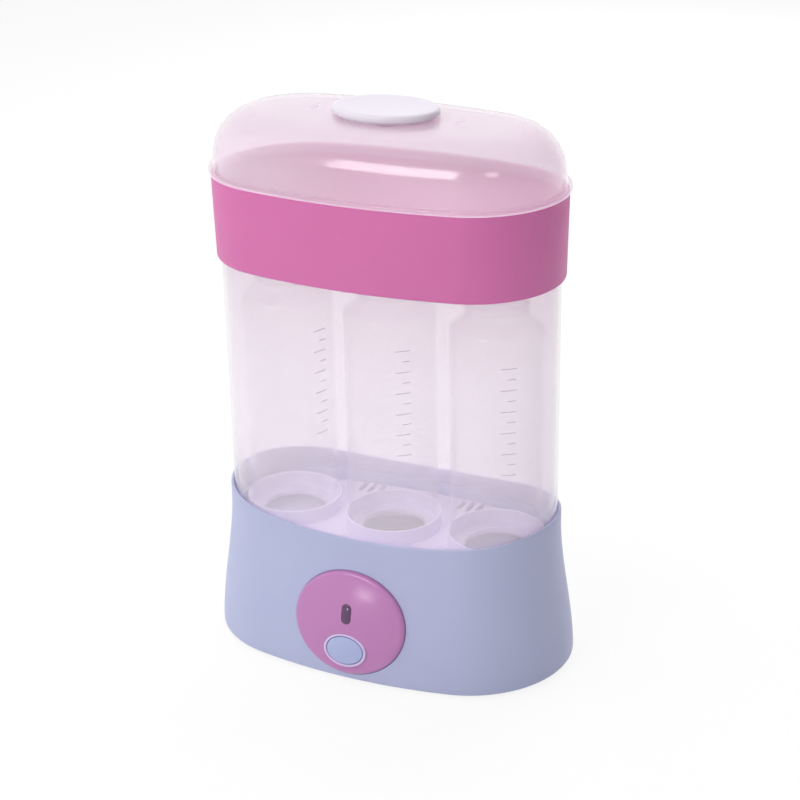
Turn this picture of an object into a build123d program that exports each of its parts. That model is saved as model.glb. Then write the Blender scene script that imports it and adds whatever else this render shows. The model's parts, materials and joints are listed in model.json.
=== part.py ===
from build123d import *
import os
from math import atan, cos, radians, sin, sqrt

# Electric steam sterilizer for three feeding bottles: a heated base, a clear
# sleeve that stands in it, a bottle rack, an accessory tray and a domed lid.
# Millimetres. X is the width, -Y the front with the control panel, Z is up.
# The origin is under the middle of the base, on the surface it stands on.

# How far a cut reaches past the wall that it goes through
cut_reach = 20.0
cut_margin = 1.0

# Base housing: half width and half depth of its oval at the bottom and at the rim
base_half_x = 112.2
base_half_y = 67.7
rim_half_x = 104.0
rim_half_y = 55.1
front_crown = 5.0
foot_lift = 2.0
flare_top_z = 87.4
rim_low_z = 87.4
rim_rise = 8.6
shell_wall = 2.6
rim_wall = 1.8
base_edge_radius = 1.6
flare_steps = 5

# Water well in the base
deck_top_z = 65.0
deck_thickness = 3.0
ledge_z = 79.0
ledge_width = 4.0
plate_hole_radius = 40.0
plate_flange_radius = 45.0
plate_recess_depth = 1.5

# Clear sleeve
sleeve_seat_gap = 0.45
sleeve_wall = 2.2
sleeve_top_z = 246.5
sleeve_top_half_x = 102.3
sleeve_top_half_y = 54.2

# Accessory tray
skirt_gap = 0.6
skirt_depth = 6.1
tray_wall = 2.0
tray_flare = 1.2
tray_rise = 43.5
tray_floor = 2.5
rib_depth = 5.0
rib_wall = 1.8
rib_gap = 0.5
tray_slot_length = 30.0
tray_slot_width = 4.0
tray_slot_pitch = 11.0
tray_slot_count = 15
tray_slot_row_y = 20.0

# Lid
flange_overhang = 1.4
flange_thickness = 3.0
lid_inset = 0.8
lid_taper = 6.0
lid_rise = 36.0
lid_wall = 2.2
lid_shoulder_share = 0.722
flange_edge_radius = 1.0
vent_offset = 45.0
vent_length = 12.0
vent_width = 3.0

# Lid grip
grip_half_x = 31.5
grip_half_y = 24.0
grip_height = 5.5
grip_lip = 3.0
grip_foot_height = 1.6
grip_edge_radius = 2.0
grip_dish_depth = 1.0
grip_rim_width = 2.0
grip_stem_radius = 5.0
stem_gap = 0.2
retainer_radius = 9.0
retainer_thickness = 2.0
stem_tail = 1.5

# Bottles and their rack
bottle_radius = 27.0
bottle_pitch = 67.0
bottle_wall = 1.6
bottle_floor = 2.4
bottle_foot_radius = 4.0
bottle_height = 161.0
bottle_neck_height = 14.0
bottle_shoulder_height = 10.0
neck_radius = 18.0
thread_depth = 1.2
thread_pitch = 4.0
thread_count = 3
thread_start = 3.6
rack_rise = 8.0
rack_thickness = 2.5
rack_gap = 0.8
ring_gap = 0.6
ring_wall = 1.3
ring_height = 9.0
drain_radius = 19.0
rack_leg_radius = 3.5
rack_leg_x = 92.0
rack_leg_spread_x = 62.0
rack_leg_spread_y = 37.0
rack_slot_length = 14.0
rack_slot_width = 3.0
rack_slot_edge = 2.0

# Heater under the well
plate_thickness = 0.8
plate_dish_depth = 6.5
plate_dish_gap = 1.2
plate_edge_radius = 1.5
plate_corner = 1.2
stud_tail = 2.0
seal_thickness = 0.8
seal_width = 4.2
element_radius = 28.0
element_tube_radius = 3.3
element_gap = 0.1
element_opening = 60.0
terminal_radius = 1.8
terminal_length = 12.0
stud_radius = 2.4
strap_half_length = 55.0
strap_width = 12.0
strap_thickness = 1.5
strap_boss_x = 50.0
strap_boss_radius = 4.5
strap_screw_radius = 1.3
strap_head_radius = 3.0
strap_head_height = 2.4
strap_screw_length = 9.0
screw_gap = 0.1
nut_radius = 4.6
nut_height = 4.0
thermostat_radius = 7.5
thermostat_height = 7.0
thermostat_y = -15.5
thermostat_tab = 6.3
thermostat_tab_thickness = 0.8
thermostat_tab_x = 4.0
thermostat_tab_reach = 7.0
thermostat_tab_root = 3.0
thermostat_edge_radius = 0.8
fuse_radius = 2.0
fuse_length = 14.0
fuse_y = 12.5
fuse_clip_width = 5.0
fuse_clip_wall = 0.8
fuse_lead_radius = 0.5
fuse_lead_length = 25.2

# Control panel on the sloping front
panel_z = 37.0
panel_half_x = 35.5
panel_half_v = 31.5
panel_gap = 0.25
panel_seat = 3.0
panel_crown = 5.6
panel_edge = 2.2
panel_edge_radius = 1.6
panel_wall = 2.4
panel_pad_rim = 3.0
panel_ledge = 4.5
panel_ledge_depth = 4.0
snap_width = 8.0
snap_thickness = 1.5
snap_lip = 1.6
snap_lip_height = 1.2
snap_gap = 0.6
button_v = -16.0
button_half_x = 11.8
button_half_v = 8.2
button_proud = 1.6
button_gap = 0.3
button_skirt = 3.4
button_guide_reach = 1.0
button_travel = 1.2
button_crown_radius = 60.0
button_edge_radius = 0.8
stop_gap = 0.1
collar_width = 1.7
collar_proud = 0.5
collar_depth = 1.2
lens_v = 6.5
lens_width = 6.0
lens_length = 12.0
lens_depth = 2.2
lens_proud = 0.2

# Electronics behind the panel
board_w = -12.0
board_thickness = 1.6
board_width = 50.0
board_length = 42.0
board_post_x = 20.0
board_post_v = 17.0
board_post_radius = 2.6
board_screw_radius = 1.1
board_head_radius = 2.2
board_head_height = 1.6
switch_size = 6.0
switch_height = 3.6
switch_plunger_radius = 1.7
switch_plunger_height = 1.0
led_radius = 2.5
led_height = 7.6
relay_length = 15.0
relay_width = 11.0
relay_height = 6.5
relay_v = -2.0
capacitor_radius = 3.2
capacitor_height = 8.0
capacitor_u = 13.0
capacitor_v = 6.0
board_corner = 2.0
board_screw_bite = 5.0
board_bore_spare = 2.0
switch_corner = 0.5
button_stem_rim = 0.6

# Underside
cover_thickness = 2.5
cover_recess = 0.6
cover_gap = 0.4
vent_slot_length = 26.0
vent_slot_width = 2.6
vent_slot_pitch = 8.0
vent_slot_count = 7
vent_row_y = 22.0
cover_boss_x = 86.0
cover_boss_y = 20.0
cover_boss_radius = 4.2
cover_screw_radius = 1.4
cover_head_radius = 3.0
cover_head_height = 1.6
cover_screw_length = 12.0
foot_x = 70.0
foot_y = 43.0
foot_radius = 7.0
foot_seat = 0.8
foot_edge_radius = 0.8
cover_bore_spare = 2.0

# Mains inlet at the back
inlet_z = 22.0
inlet_width = 27.8
inlet_height = 20.4
inlet_depth = 17.0
inlet_corner = 3.0
inlet_flange = 2.6
inlet_flange_thickness = 1.6
inlet_flange_proud = 0.6
inlet_body_tail = 2.0
inlet_mouth_width = 24.4
inlet_mouth_height = 16.6
inlet_mouth_depth = 14.0
blade_width = 2.0
blade_height = 4.0
blade_spacing = 7.0
blade_offset = 2.0
blade_reach = 10.0
blade_tail = 7.0


def tall(face, low, high):
    """Solid of a flat face's outline from one height to another."""
    return Pos(0, 0, low) * extrude(face, high - low)


def oval(half_x, half_y):
    """Flat oval of two shallow crowned sides and two round ends, all tangent."""
    end_radius = half_y - front_crown
    end_x = half_x - end_radius
    side_radius = (end_x ** 2 + half_y ** 2 - end_radius ** 2) / (2 * front_crown)
    reach = sqrt(end_x ** 2 + (side_radius - half_y) ** 2)
    join_x = side_radius * end_x / reach
    join_y = end_radius * (side_radius - half_y) / reach
    edges = [
        ThreePointArc((-join_x, -join_y), (0, -half_y), (join_x, -join_y)),
        ThreePointArc((join_x, -join_y), (half_x, 0), (join_x, join_y)),
        ThreePointArc((join_x, join_y), (0, half_y), (-join_x, join_y)),
        ThreePointArc((-join_x, join_y), (-half_x, 0), (-join_x, -join_y)),
    ]
    return make_face(Wire(edges))


def ball(radius, top):
    """Ball whose highest point is at a height, turned so that its seam stays clear of the top."""
    return Pos(0, 0, top - radius) * Rot(90, 0, 0) * Sphere(radius)


def round_top(solid, radius):
    """Solid with the edge round its highest face rounded."""
    return fillet(solid.faces().sort_by(Axis.Z)[-1].outer_wire().edges(), radius)


def flare_share(z):
    """Share of the base's flare at a height: 1 at the bottom, 0 at the flare's top."""
    t = min(max(z / flare_top_z, 0.0), 1.0)
    return 1 - t * t * (3 - 2 * t)


def base_half(z):
    """Half width and half depth of the base's outside at a height."""
    share = flare_share(z)
    half_x = rim_half_x + (base_half_x - rim_half_x) * share
    half_y = rim_half_y + (base_half_y - rim_half_y) * share
    return half_x, half_y


def wall_plane(z, reach, side):
    """Plane through the base's outside a reach above and below a height, facing out.

    The side is -1 at the front and 1 at the back.
    """
    low_y = base_half(z - reach)[1]
    high_y = base_half(z + reach)[1]
    slope = atan((low_y - high_y) / (2 * reach))
    origin = (0, side * (low_y + high_y) / 2, z)
    return Plane(origin=origin, x_dir=(-side, 0, 0), z_dir=(0, side * cos(slope), sin(slope)))


def flared(low, high, inset):
    """Smooth solid that follows the base's outside between two heights."""
    sections = []
    for step in range(flare_steps + 1):
        z = low + (high - low) * step / flare_steps
        half_x, half_y = base_half(z)
        sections.append(Pos(0, 0, z) * oval(half_x - inset, half_y - inset))
    return loft(sections)


def slots(length, width, spots):
    """Sketch of rounded slots along Y at the given spots."""
    return Sketch() + [Pos(x, y) * Rot(0, 0, 90) * SlotOverall(length, width) for x, y in spots]


well_half_x = rim_half_x - rim_wall - ledge_width
well_half_y = rim_half_y - rim_wall - ledge_width
sleeve_foot_half_x = rim_half_x - rim_wall - sleeve_seat_gap
sleeve_foot_half_y = rim_half_y - rim_wall - sleeve_seat_gap
rim_top_z = rim_low_z + rim_rise
deck_low_z = deck_top_z - deck_thickness
rack_top_z = deck_top_z + rack_rise
cover_low_z = foot_lift + cover_recess
cover_top_z = cover_low_z + cover_thickness
seal_low_z = deck_top_z - plate_recess_depth
flange_low_z = seal_low_z + seal_thickness
dish_low_z = flange_low_z - plate_dish_depth
dish_radius = plate_hole_radius - plate_dish_gap
element_z = dish_low_z - element_gap - element_tube_radius
strap_top_z = element_z - element_tube_radius - element_gap
strap_low_z = strap_top_z - strap_thickness
tray_low_z = sleeve_top_z - skirt_depth
tray_top_z = sleeve_top_z + tray_rise
lid_top_z = tray_top_z + lid_rise
lid_shoulder = lid_shoulder_share * lid_rise
tray_low_half_x = sleeve_top_half_x + skirt_gap + tray_wall
tray_low_half_y = sleeve_top_half_y + skirt_gap + tray_wall
tray_top_half_x = tray_low_half_x + tray_flare
tray_top_half_y = tray_low_half_y + tray_flare
panel_place = wall_plane(panel_z, panel_half_v, -1)
inlet_place = wall_plane(inlet_z, inlet_height / 2, 1)
dome_radius = (panel_half_v ** 2 + (panel_crown - panel_edge) ** 2) / (2 * (panel_crown - panel_edge))
dome_centre = panel_crown - dome_radius
board_top = board_w + board_thickness
bottle_spots = [-bottle_pitch, 0.0, bottle_pitch]
bottle_top_z = rack_top_z + bottle_height
bottle_neck_z = bottle_top_z - bottle_neck_height
bottle_shoulder_z = bottle_neck_z - bottle_shoulder_height
cover_boss_spots = [(i * cover_boss_x, j * cover_boss_y) for i in (-1, 1) for j in (-1, 1)]
foot_spots = [(i * foot_x, j * foot_y) for i in (-1, 1) for j in (-1, 1)]
board_spots = [(i * board_post_x, j * board_post_v) for i in (-1, 1) for j in (-1, 1)]


def dome_height(u, v):
    """Height of the panel's domed face over its plane."""
    return dome_centre + sqrt(dome_radius ** 2 - u ** 2 - v ** 2)


def base_shell():
    """Housing with its flared skirt, smiling rim, water well, screw bosses and panel seat."""
    outer = flared(foot_lift, rim_top_z, 0)
    bottom_edges = outer.edges().group_by(Axis.Z)[0]
    outer = fillet(bottom_edges, base_edge_radius)
    hollow = flared(foot_lift, deck_low_z, shell_wall)
    pad_face = Ellipse(panel_half_x + panel_pad_rim, panel_half_v + panel_pad_rim)
    pad = panel_place.location * tall(pad_face, -panel_seat - panel_ledge_depth, 0)
    pad = pad & tall(oval(base_half_x, base_half_y), cover_top_z + cover_gap, deck_low_z + cut_margin)
    bosses = Part()
    for x, y in cover_boss_spots:
        bosses += Pos(x, y) * tall(Circle(cover_boss_radius), cover_top_z, deck_low_z)
    for x in (-strap_boss_x, strap_boss_x):
        bosses += Pos(x, 0) * tall(Circle(strap_boss_radius), strap_top_z, deck_low_z)
    shell = outer - hollow + ((pad + bosses) & outer)

    shell -= tall(oval(well_half_x, well_half_y), deck_top_z, ledge_z + cut_margin)
    shell -= tall(oval(rim_half_x - rim_wall, rim_half_y - rim_wall), ledge_z, rim_top_z + cut_margin)
    shell -= tall(Circle(plate_hole_radius), deck_low_z - cut_margin, deck_top_z)
    shell -= tall(Circle(plate_flange_radius + screw_gap), seal_low_z, deck_top_z + cut_margin)
    smile_radius = (rim_half_x ** 2 + rim_rise ** 2) / (2 * rim_rise)
    smile = Pos(0, 0, rim_low_z + smile_radius) * Rot(90, 0, 0) * Cylinder(smile_radius, 4 * rim_half_y)
    shell -= smile

    for x, y in cover_boss_spots:
        shell -= Pos(x, y) * tall(Circle(cover_screw_radius + screw_gap), cover_top_z,
                                  cover_low_z + cover_screw_length + cover_bore_spare)
    for x in (-strap_boss_x, strap_boss_x):
        bore = Circle(strap_screw_radius + screw_gap)
        shell -= Pos(x, 0) * tall(bore, strap_top_z, deck_low_z - cut_margin)

    seat = tall(Ellipse(panel_half_x + panel_gap, panel_half_v + panel_gap), -panel_seat, cut_reach)
    window = tall(Ellipse(panel_half_x - panel_ledge, panel_half_v - panel_ledge), -cut_reach, 0)
    shell -= panel_place.location * (seat + window)

    hole = RectangleRounded(inlet_width + 2 * screw_gap, inlet_height + 2 * screw_gap, inlet_corner)
    frame = RectangleRounded(inlet_width + 2 * inlet_flange + 2 * screw_gap,
                             inlet_height + 2 * inlet_flange + 2 * screw_gap, inlet_corner)
    flange_seat = inlet_flange_proud - inlet_flange_thickness
    shell -= inlet_place.location * (tall(hole, -cut_reach, 0) + tall(frame, flange_seat, cut_reach))
    return shell


def bottom_cover():
    """Flat cover inside the skirt, with vent slots, countersunk screws and foot recesses."""
    face = oval(base_half_x - shell_wall - cover_gap, base_half_y - shell_wall - cover_gap)
    spots = []
    for row in (-vent_row_y, vent_row_y):
        for i in range(vent_slot_count):
            spots.append(((i - (vent_slot_count - 1) / 2) * vent_slot_pitch, row))
    cover = tall(face, cover_low_z, cover_top_z)
    vents = slots(vent_slot_length, vent_slot_width, spots)
    cover -= tall(vents, cover_low_z - cut_margin, cover_top_z + cut_margin)
    for x, y in cover_boss_spots:
        bore = tall(Circle(cover_screw_radius + screw_gap), cover_low_z - cut_margin, cover_top_z)
        sink = tall(Circle(cover_head_radius + screw_gap), cover_low_z - cut_margin,
                    cover_low_z + cover_head_height)
        cover -= Pos(x, y) * (bore + sink)
    for x, y in foot_spots:
        seat = tall(Circle(foot_radius + screw_gap), cover_low_z - cut_margin, cover_low_z + foot_seat)
        cover -= Pos(x, y) * seat
    return cover


def pan_screw(head_radius, head_height, shank_radius, length):
    """Screw that points up, its head's underside at height zero, with a slot across the head."""
    head = tall(Circle(head_radius), -head_height, 0)
    head -= tall(Rectangle(3 * head_radius, 0.25 * head_radius), -head_height, -0.6 * head_height)
    return head + tall(Circle(shank_radius), 0, length)


def cover_screws():
    """Four screws that hold the bottom cover to the bosses."""
    screw = pan_screw(cover_head_radius, cover_head_height, cover_screw_radius,
                      cover_screw_length - cover_head_height)
    head_z = cover_low_z + cover_head_height
    return Compound(children=[Pos(x, y, head_z) * screw for x, y in cover_boss_spots])


def rubber_feet():
    """Four round feet, domed where they meet the surface."""
    foot = tall(Circle(foot_radius), 0, cover_low_z + foot_seat)
    foot = fillet(foot.edges().group_by(Axis.Z)[0], foot_edge_radius)
    return Compound(children=[Pos(x, y) * foot for x, y in foot_spots])


def heating_plate():
    """Pressed steel dish with a rolled flange and a stud welded under its middle."""
    flange_top_z = flange_low_z + plate_thickness
    inner = dish_radius - plate_thickness
    floor_top = dish_low_z + plate_thickness
    profile = Polyline([
        (0, dish_low_z), (dish_radius - plate_edge_radius, dish_low_z),
        (dish_radius, dish_low_z + plate_edge_radius),
        (dish_radius, flange_low_z), (plate_flange_radius, flange_low_z),
        (plate_flange_radius, flange_top_z), (inner, flange_top_z),
        (inner, floor_top + plate_corner), (inner - plate_corner, floor_top),
        (0, floor_top), (0, dish_low_z),
    ])
    dish = revolve(Plane.XZ * make_face(profile), Axis.Z)
    stud = tall(Circle(stud_radius), strap_low_z - nut_height - stud_tail, dish_low_z)
    return dish + stud


def plate_seal():
    """Flat silicone ring between the plate's flange and the recess in the deck."""
    ring = Circle(plate_flange_radius) - Circle(plate_flange_radius - seal_width)
    return tall(ring, seal_low_z, flange_low_z)


def heating_element():
    """Sheathed heater bent into an open ring, with its two cold pins turned down."""
    start = 90 + element_opening / 2
    section = Plane.XZ * Pos(element_radius, element_z) * Circle(element_tube_radius)
    ring = Rot(0, 0, start) * revolve(section, Axis.Z, revolution_arc=360 - element_opening)
    pins = Part()
    for angle in (start, start - element_opening):
        x = element_radius * cos(radians(angle))
        y = element_radius * sin(radians(angle))
        leg = tall(Circle(element_tube_radius), element_z - 2 * element_tube_radius, element_z)
        pins += Pos(x, y) * (leg + Pos(0, 0, element_z) * Sphere(element_tube_radius))
        pins += Pos(x, y) * tall(Circle(terminal_radius), element_z - terminal_length, element_z)
    return ring + pins


def plate_strap():
    """Steel strap that pulls the plate down on its seal by the stud."""
    face = SlotOverall(2 * strap_half_length, strap_width) - Circle(stud_radius + screw_gap)
    for x in (-strap_boss_x, strap_boss_x):
        face -= Pos(x, 0) * Circle(strap_screw_radius + screw_gap)
    return tall(face, strap_low_z, strap_top_z)


def strap_nut():
    """Hexagon nut on the plate's stud."""
    face = RegularPolygon(nut_radius, 6) - Circle(stud_radius + screw_gap)
    return tall(face, strap_low_z - nut_height, strap_low_z)


def strap_screws():
    """Two screws that hold the strap's ends to the deck's bosses."""
    screw = pan_screw(strap_head_radius, strap_head_height, strap_screw_radius, strap_screw_length)
    return Compound(children=[Pos(x, 0, strap_low_z) * screw for x in (-strap_boss_x, strap_boss_x)])


def thermostat():
    """Round snap thermostat against the plate, with two blade terminals below."""
    top = dish_low_z - element_gap
    can = tall(Circle(thermostat_radius), top - thermostat_height, top)
    can = round_top(can, thermostat_edge_radius)
    tab = Rectangle(thermostat_tab_thickness, thermostat_tab)
    for x in (-thermostat_tab_x, thermostat_tab_x):
        can += Pos(x, 0) * tall(tab, top - thermostat_height - thermostat_tab_reach,
                                top - thermostat_tab_root)
    return Pos(0, thermostat_y) * can


def thermal_fuse():
    """Cutout fuse held to the plate by a spring clip."""
    z = dish_low_z - element_gap - fuse_radius
    body = Rot(0, 90, 0) * Cylinder(fuse_radius, fuse_length)
    lead = Rot(0, 90, 0) * Cylinder(fuse_lead_radius, fuse_lead_length)
    clip = Cylinder(fuse_radius + fuse_clip_wall, fuse_clip_width) - Cylinder(fuse_radius, fuse_length)
    clip = Rot(0, 90, 0) * clip
    clip -= Pos(0, 0, 2 * fuse_radius) * Box(2 * fuse_clip_width, 4 * fuse_radius, 3 * fuse_radius)
    return Pos(0, fuse_y, z) * (body + lead + clip)


def control_panel():
    """Domed oval panel, hollow behind, with the button's well, lens slot, posts and snaps."""
    prism = tall(Ellipse(panel_half_x, panel_half_v), -panel_seat, panel_crown + cut_margin)
    cap = round_top(prism & ball(dome_radius, panel_crown), panel_edge_radius)
    pocket_rim = panel_ledge + snap_gap + snap_thickness
    inner = tall(Ellipse(panel_half_x - pocket_rim, panel_half_v - pocket_rim), -panel_seat, panel_crown)
    cap -= inner & ball(dome_radius - panel_wall, panel_crown - panel_wall)
    guide_rim = button_gap + panel_wall / 2
    guide = tall(Ellipse(button_half_x + guide_rim, button_half_v + guide_rim),
                 -button_guide_reach, dome_height(0, button_v) - panel_wall / 2)
    cap += Pos(0, button_v) * guide
    for u, v in board_spots:
        cap += Pos(u, v) * tall(Circle(board_post_radius), board_top, dome_height(u, v) - panel_wall / 2)
    for side in (-1, 1):
        edge = panel_half_x - panel_ledge - snap_gap
        low = -panel_seat - panel_ledge_depth - snap_gap - snap_lip_height
        arm = Pos(side * (edge - snap_thickness / 2)) * tall(Rectangle(snap_thickness, snap_width), low, 0)
        lip_width = snap_thickness + snap_lip
        lip = Pos(side * (edge - lip_width / 2 + snap_lip)) * tall(
            Rectangle(lip_width, snap_width), low, low + snap_lip_height)
        cap += arm + lip
    bore = tall(Ellipse(button_half_x + button_gap, button_half_v + button_gap), -cut_reach, cut_reach)
    collar_rim = button_gap + collar_width
    collar = tall(Ellipse(button_half_x + collar_rim, button_half_v + collar_rim),
                  dome_height(0, button_v) - collar_depth, cut_reach)
    cap -= Pos(0, button_v) * (bore + collar)
    cap -= Pos(0, lens_v) * tall(lens_face(screw_gap), dome_height(0, lens_v) - lens_depth, cut_reach)
    cap -= Pos(0, lens_v) * tall(Circle(led_radius + button_gap), -cut_reach, cut_reach)
    for u, v in board_spots:
        cap -= Pos(u, v) * tall(Circle(board_screw_radius + screw_gap), board_top - cut_margin,
                                 board_top + board_screw_bite + board_bore_spare)
    return panel_place.location * cap


def lens_face(gap):
    """Outline of the indicator window."""
    return Rot(0, 0, 90) * SlotOverall(lens_length + 2 * gap, lens_width + 2 * gap)


def indicator_lens():
    """Dark window over the lamp."""
    top = dome_height(0, lens_v) + lens_proud
    lens = tall(lens_face(0), dome_height(0, lens_v) - lens_depth, top)
    lens = round_top(lens, lens_proud)
    return panel_place.location * (Pos(0, lens_v) * lens)


def button_collar():
    """Pale trim ring round the button."""
    outer = Ellipse(button_half_x + button_gap + collar_width - screw_gap,
                    button_half_v + button_gap + collar_width - screw_gap)
    ring = outer - Ellipse(button_half_x + button_gap, button_half_v + button_gap)
    top = dome_height(0, button_v) + collar_proud
    low = dome_height(0, button_v) - collar_depth
    return panel_place.location * (Pos(0, button_v) * tall(ring, low, top))


def start_button():
    """Oval push button with a crowned face and a stem that works the switch."""
    face_top = dome_height(0, button_v) + button_proud
    low = dome_height(0, button_v) - button_skirt
    body = tall(Ellipse(button_half_x, button_half_v), low, face_top + cut_margin)
    body = round_top(body & ball(button_crown_radius, face_top), button_edge_radius)
    stem_end = board_top + switch_height + switch_plunger_height + button_travel + stop_gap
    stem = tall(Circle(switch_plunger_radius + button_stem_rim), stem_end, low)
    return panel_place.location * (Pos(0, button_v) * (body + stem))


def tact_switch():
    """Small push switch on the board."""
    body_top = board_top + switch_height
    body = tall(RectangleRounded(switch_size, switch_size, switch_corner), board_top, body_top)
    plunger = tall(Circle(switch_plunger_radius), body_top, body_top + switch_plunger_height)
    return panel_place.location * (Pos(0, button_v) * (body + plunger))


def indicator_led():
    """Lamp under the window."""
    lamp = tall(Circle(led_radius), board_top, board_top + led_height)
    lamp = round_top(lamp, 0.9 * led_radius)
    return panel_place.location * (Pos(0, lens_v) * lamp)


def control_board():
    """Printed board on the panel's posts, with its relay and two capacitors."""
    face = RectangleRounded(board_width, board_length, board_corner)
    for u, v in board_spots:
        face -= Pos(u, v) * Circle(board_screw_radius + screw_gap)
    board = tall(face, board_w, board_top)
    relay = Pos(0, relay_v) * tall(Rectangle(relay_length, relay_width), board_w - relay_height, board_w)
    can = tall(Circle(capacitor_radius), board_w - capacitor_height, board_w)
    board += relay + Pos(capacitor_u, capacitor_v) * can + Pos(-capacitor_u, capacitor_v) * can
    return panel_place.location * board


def board_screws():
    """Four screws that hold the board to the panel's posts."""
    screw = pan_screw(board_head_radius, board_head_height, board_screw_radius,
                      board_thickness + board_screw_bite)
    children = [panel_place.location * (Pos(u, v, board_w) * screw) for u, v in board_spots]
    return Compound(children=children)


def power_inlet():
    """Appliance inlet with its flange and open mouth, its back wall gripping the blades."""
    top = inlet_flange_proud
    tail = top - inlet_depth - inlet_body_tail
    body = tall(RectangleRounded(inlet_width, inlet_height, inlet_corner), tail,
                top - inlet_flange_thickness / 2)
    frame = RectangleRounded(inlet_width + 2 * inlet_flange, inlet_height + 2 * inlet_flange,
                             inlet_corner)
    body += tall(frame, top - inlet_flange_thickness, top)
    mouth = tall(RectangleRounded(inlet_mouth_width, inlet_mouth_height, inlet_corner),
                 top - inlet_mouth_depth, top + cut_margin)
    body -= mouth
    for blade in blade_solids():
        body -= blade
    return inlet_place.location * body


def blade_solids():
    """Three contact blades through the inlet's back wall, the middle one set higher."""
    back = inlet_flange_proud - inlet_mouth_depth
    blade = tall(Rectangle(blade_width, blade_height), back - blade_tail, back + blade_reach)
    places = [(-blade_spacing, -blade_offset), (0, blade_offset), (blade_spacing, -blade_offset)]
    return [Pos(x, v) * blade for x, v in places]


def inlet_blades():
    """Live, neutral and earth blades."""
    return Compound(children=[inlet_place.location * blade for blade in blade_solids()])


def clear_sleeve():
    """Open clear wall that stands on the base's ledge and carries the tray."""
    def wall(inset):
        foot = Pos(0, 0, ledge_z) * oval(sleeve_foot_half_x - inset, sleeve_foot_half_y - inset)
        top = Pos(0, 0, sleeve_top_z) * oval(sleeve_top_half_x - inset, sleeve_top_half_y - inset)
        return loft([foot, top], ruled=True)
    return wall(0) - wall(sleeve_wall)


def accessory_tray():
    """Band-shaped tray: skirt over the sleeve, slotted floor and a rib inside the sleeve."""
    def tub(low, high, inset):
        span = tray_top_z - tray_low_z
        sections = []
        for z in (low, high):
            grow = tray_flare * (z - tray_low_z) / span - inset
            sections.append(Pos(0, 0, z) * oval(tray_low_half_x + grow, tray_low_half_y + grow))
        return loft(sections, ruled=True)
    floor_top = sleeve_top_z + tray_floor
    tray = tub(tray_low_z, tray_top_z, 0)
    tray -= tub(floor_top, tray_top_z, tray_wall)
    tray -= tall(oval(tray_low_half_x - tray_wall, tray_low_half_y - tray_wall), tray_low_z, sleeve_top_z)
    rib_x = sleeve_top_half_x - sleeve_wall - rib_gap
    rib_y = sleeve_top_half_y - sleeve_wall - rib_gap
    rib = oval(rib_x, rib_y) - oval(rib_x - rib_wall, rib_y - rib_wall)
    tray += tall(rib, sleeve_top_z - rib_depth, sleeve_top_z)
    spots = []
    for i in range(tray_slot_count):
        x = (i - (tray_slot_count - 1) / 2) * tray_slot_pitch
        for side in (-1, 1):
            spots.append((x, side * tray_slot_row_y))
    drains = slots(tray_slot_length, tray_slot_width, spots)
    tray -= tall(drains, sleeve_top_z - cut_margin, floor_top + cut_margin)
    return tray


def lid():
    """Domed lid with a flange, a locating rib inside the tray and two steam vents."""
    wall_half_x = tray_top_half_x - lid_inset
    wall_half_y = tray_top_half_y - lid_inset

    def dome(inset):
        height = lid_top_z - inset - tray_top_z
        body = extrude(oval(wall_half_x - inset, wall_half_y - inset), height, taper=lid_taper)
        body = Pos(0, 0, tray_top_z) * body
        return fillet(body.edges().group_by(Axis.Z)[-1], lid_shoulder - inset)

    flange = tall(oval(tray_top_half_x + flange_overhang, tray_top_half_y + flange_overhang),
                  tray_top_z, tray_top_z + flange_thickness)
    flange_edges = flange.edges().group_by(Axis.Z)
    flange = fillet(flange_edges[-1] + flange_edges[0], flange_edge_radius)
    rib_x = tray_top_half_x - tray_wall - rib_gap
    rib_y = tray_top_half_y - tray_wall - rib_gap
    rib = tall(oval(rib_x, rib_y), tray_top_z - rib_depth, tray_top_z)
    shell = flange + dome(0) + rib
    shell -= dome(lid_wall)
    shell -= tall(oval(rib_x - rib_wall, rib_y - rib_wall), tray_top_z - rib_depth - cut_margin,
                  tray_top_z + cut_margin)
    shell -= tall(Circle(grip_stem_radius + stem_gap), lid_top_z - cut_reach, lid_top_z + cut_margin)
    spots = [(-vent_offset, 0), (vent_offset, 0)]
    shell -= tall(slots(vent_length, vent_width, spots), lid_top_z - cut_reach, lid_top_z + cut_margin)
    return shell


def lid_grip():
    """Oval grip with an undercut for the fingers, a dished top and a stem through the lid."""
    foot = tall(Ellipse(grip_half_x - grip_lip, grip_half_y - grip_lip), lid_top_z,
                lid_top_z + grip_foot_height)
    top_z = lid_top_z + grip_height
    cap = tall(Ellipse(grip_half_x, grip_half_y), lid_top_z + grip_foot_height, top_z)
    cap = round_top(cap, grip_edge_radius)
    dish_half = grip_half_y - grip_edge_radius - grip_rim_width
    dish_sphere = (dish_half ** 2 + grip_dish_depth ** 2) / (2 * grip_dish_depth)
    cap -= Pos(0, 0, 2 * dish_sphere) * ball(dish_sphere, top_z - grip_dish_depth)
    stem = tall(Circle(grip_stem_radius), lid_top_z - lid_wall - retainer_thickness - stem_tail, lid_top_z)
    return foot + cap + stem


def grip_retainer():
    """Push-on ring that holds the grip's stem under the lid."""
    face = Circle(retainer_radius) - Circle(grip_stem_radius)
    return tall(face, lid_top_z - lid_wall - retainer_thickness, lid_top_z - lid_wall)


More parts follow.
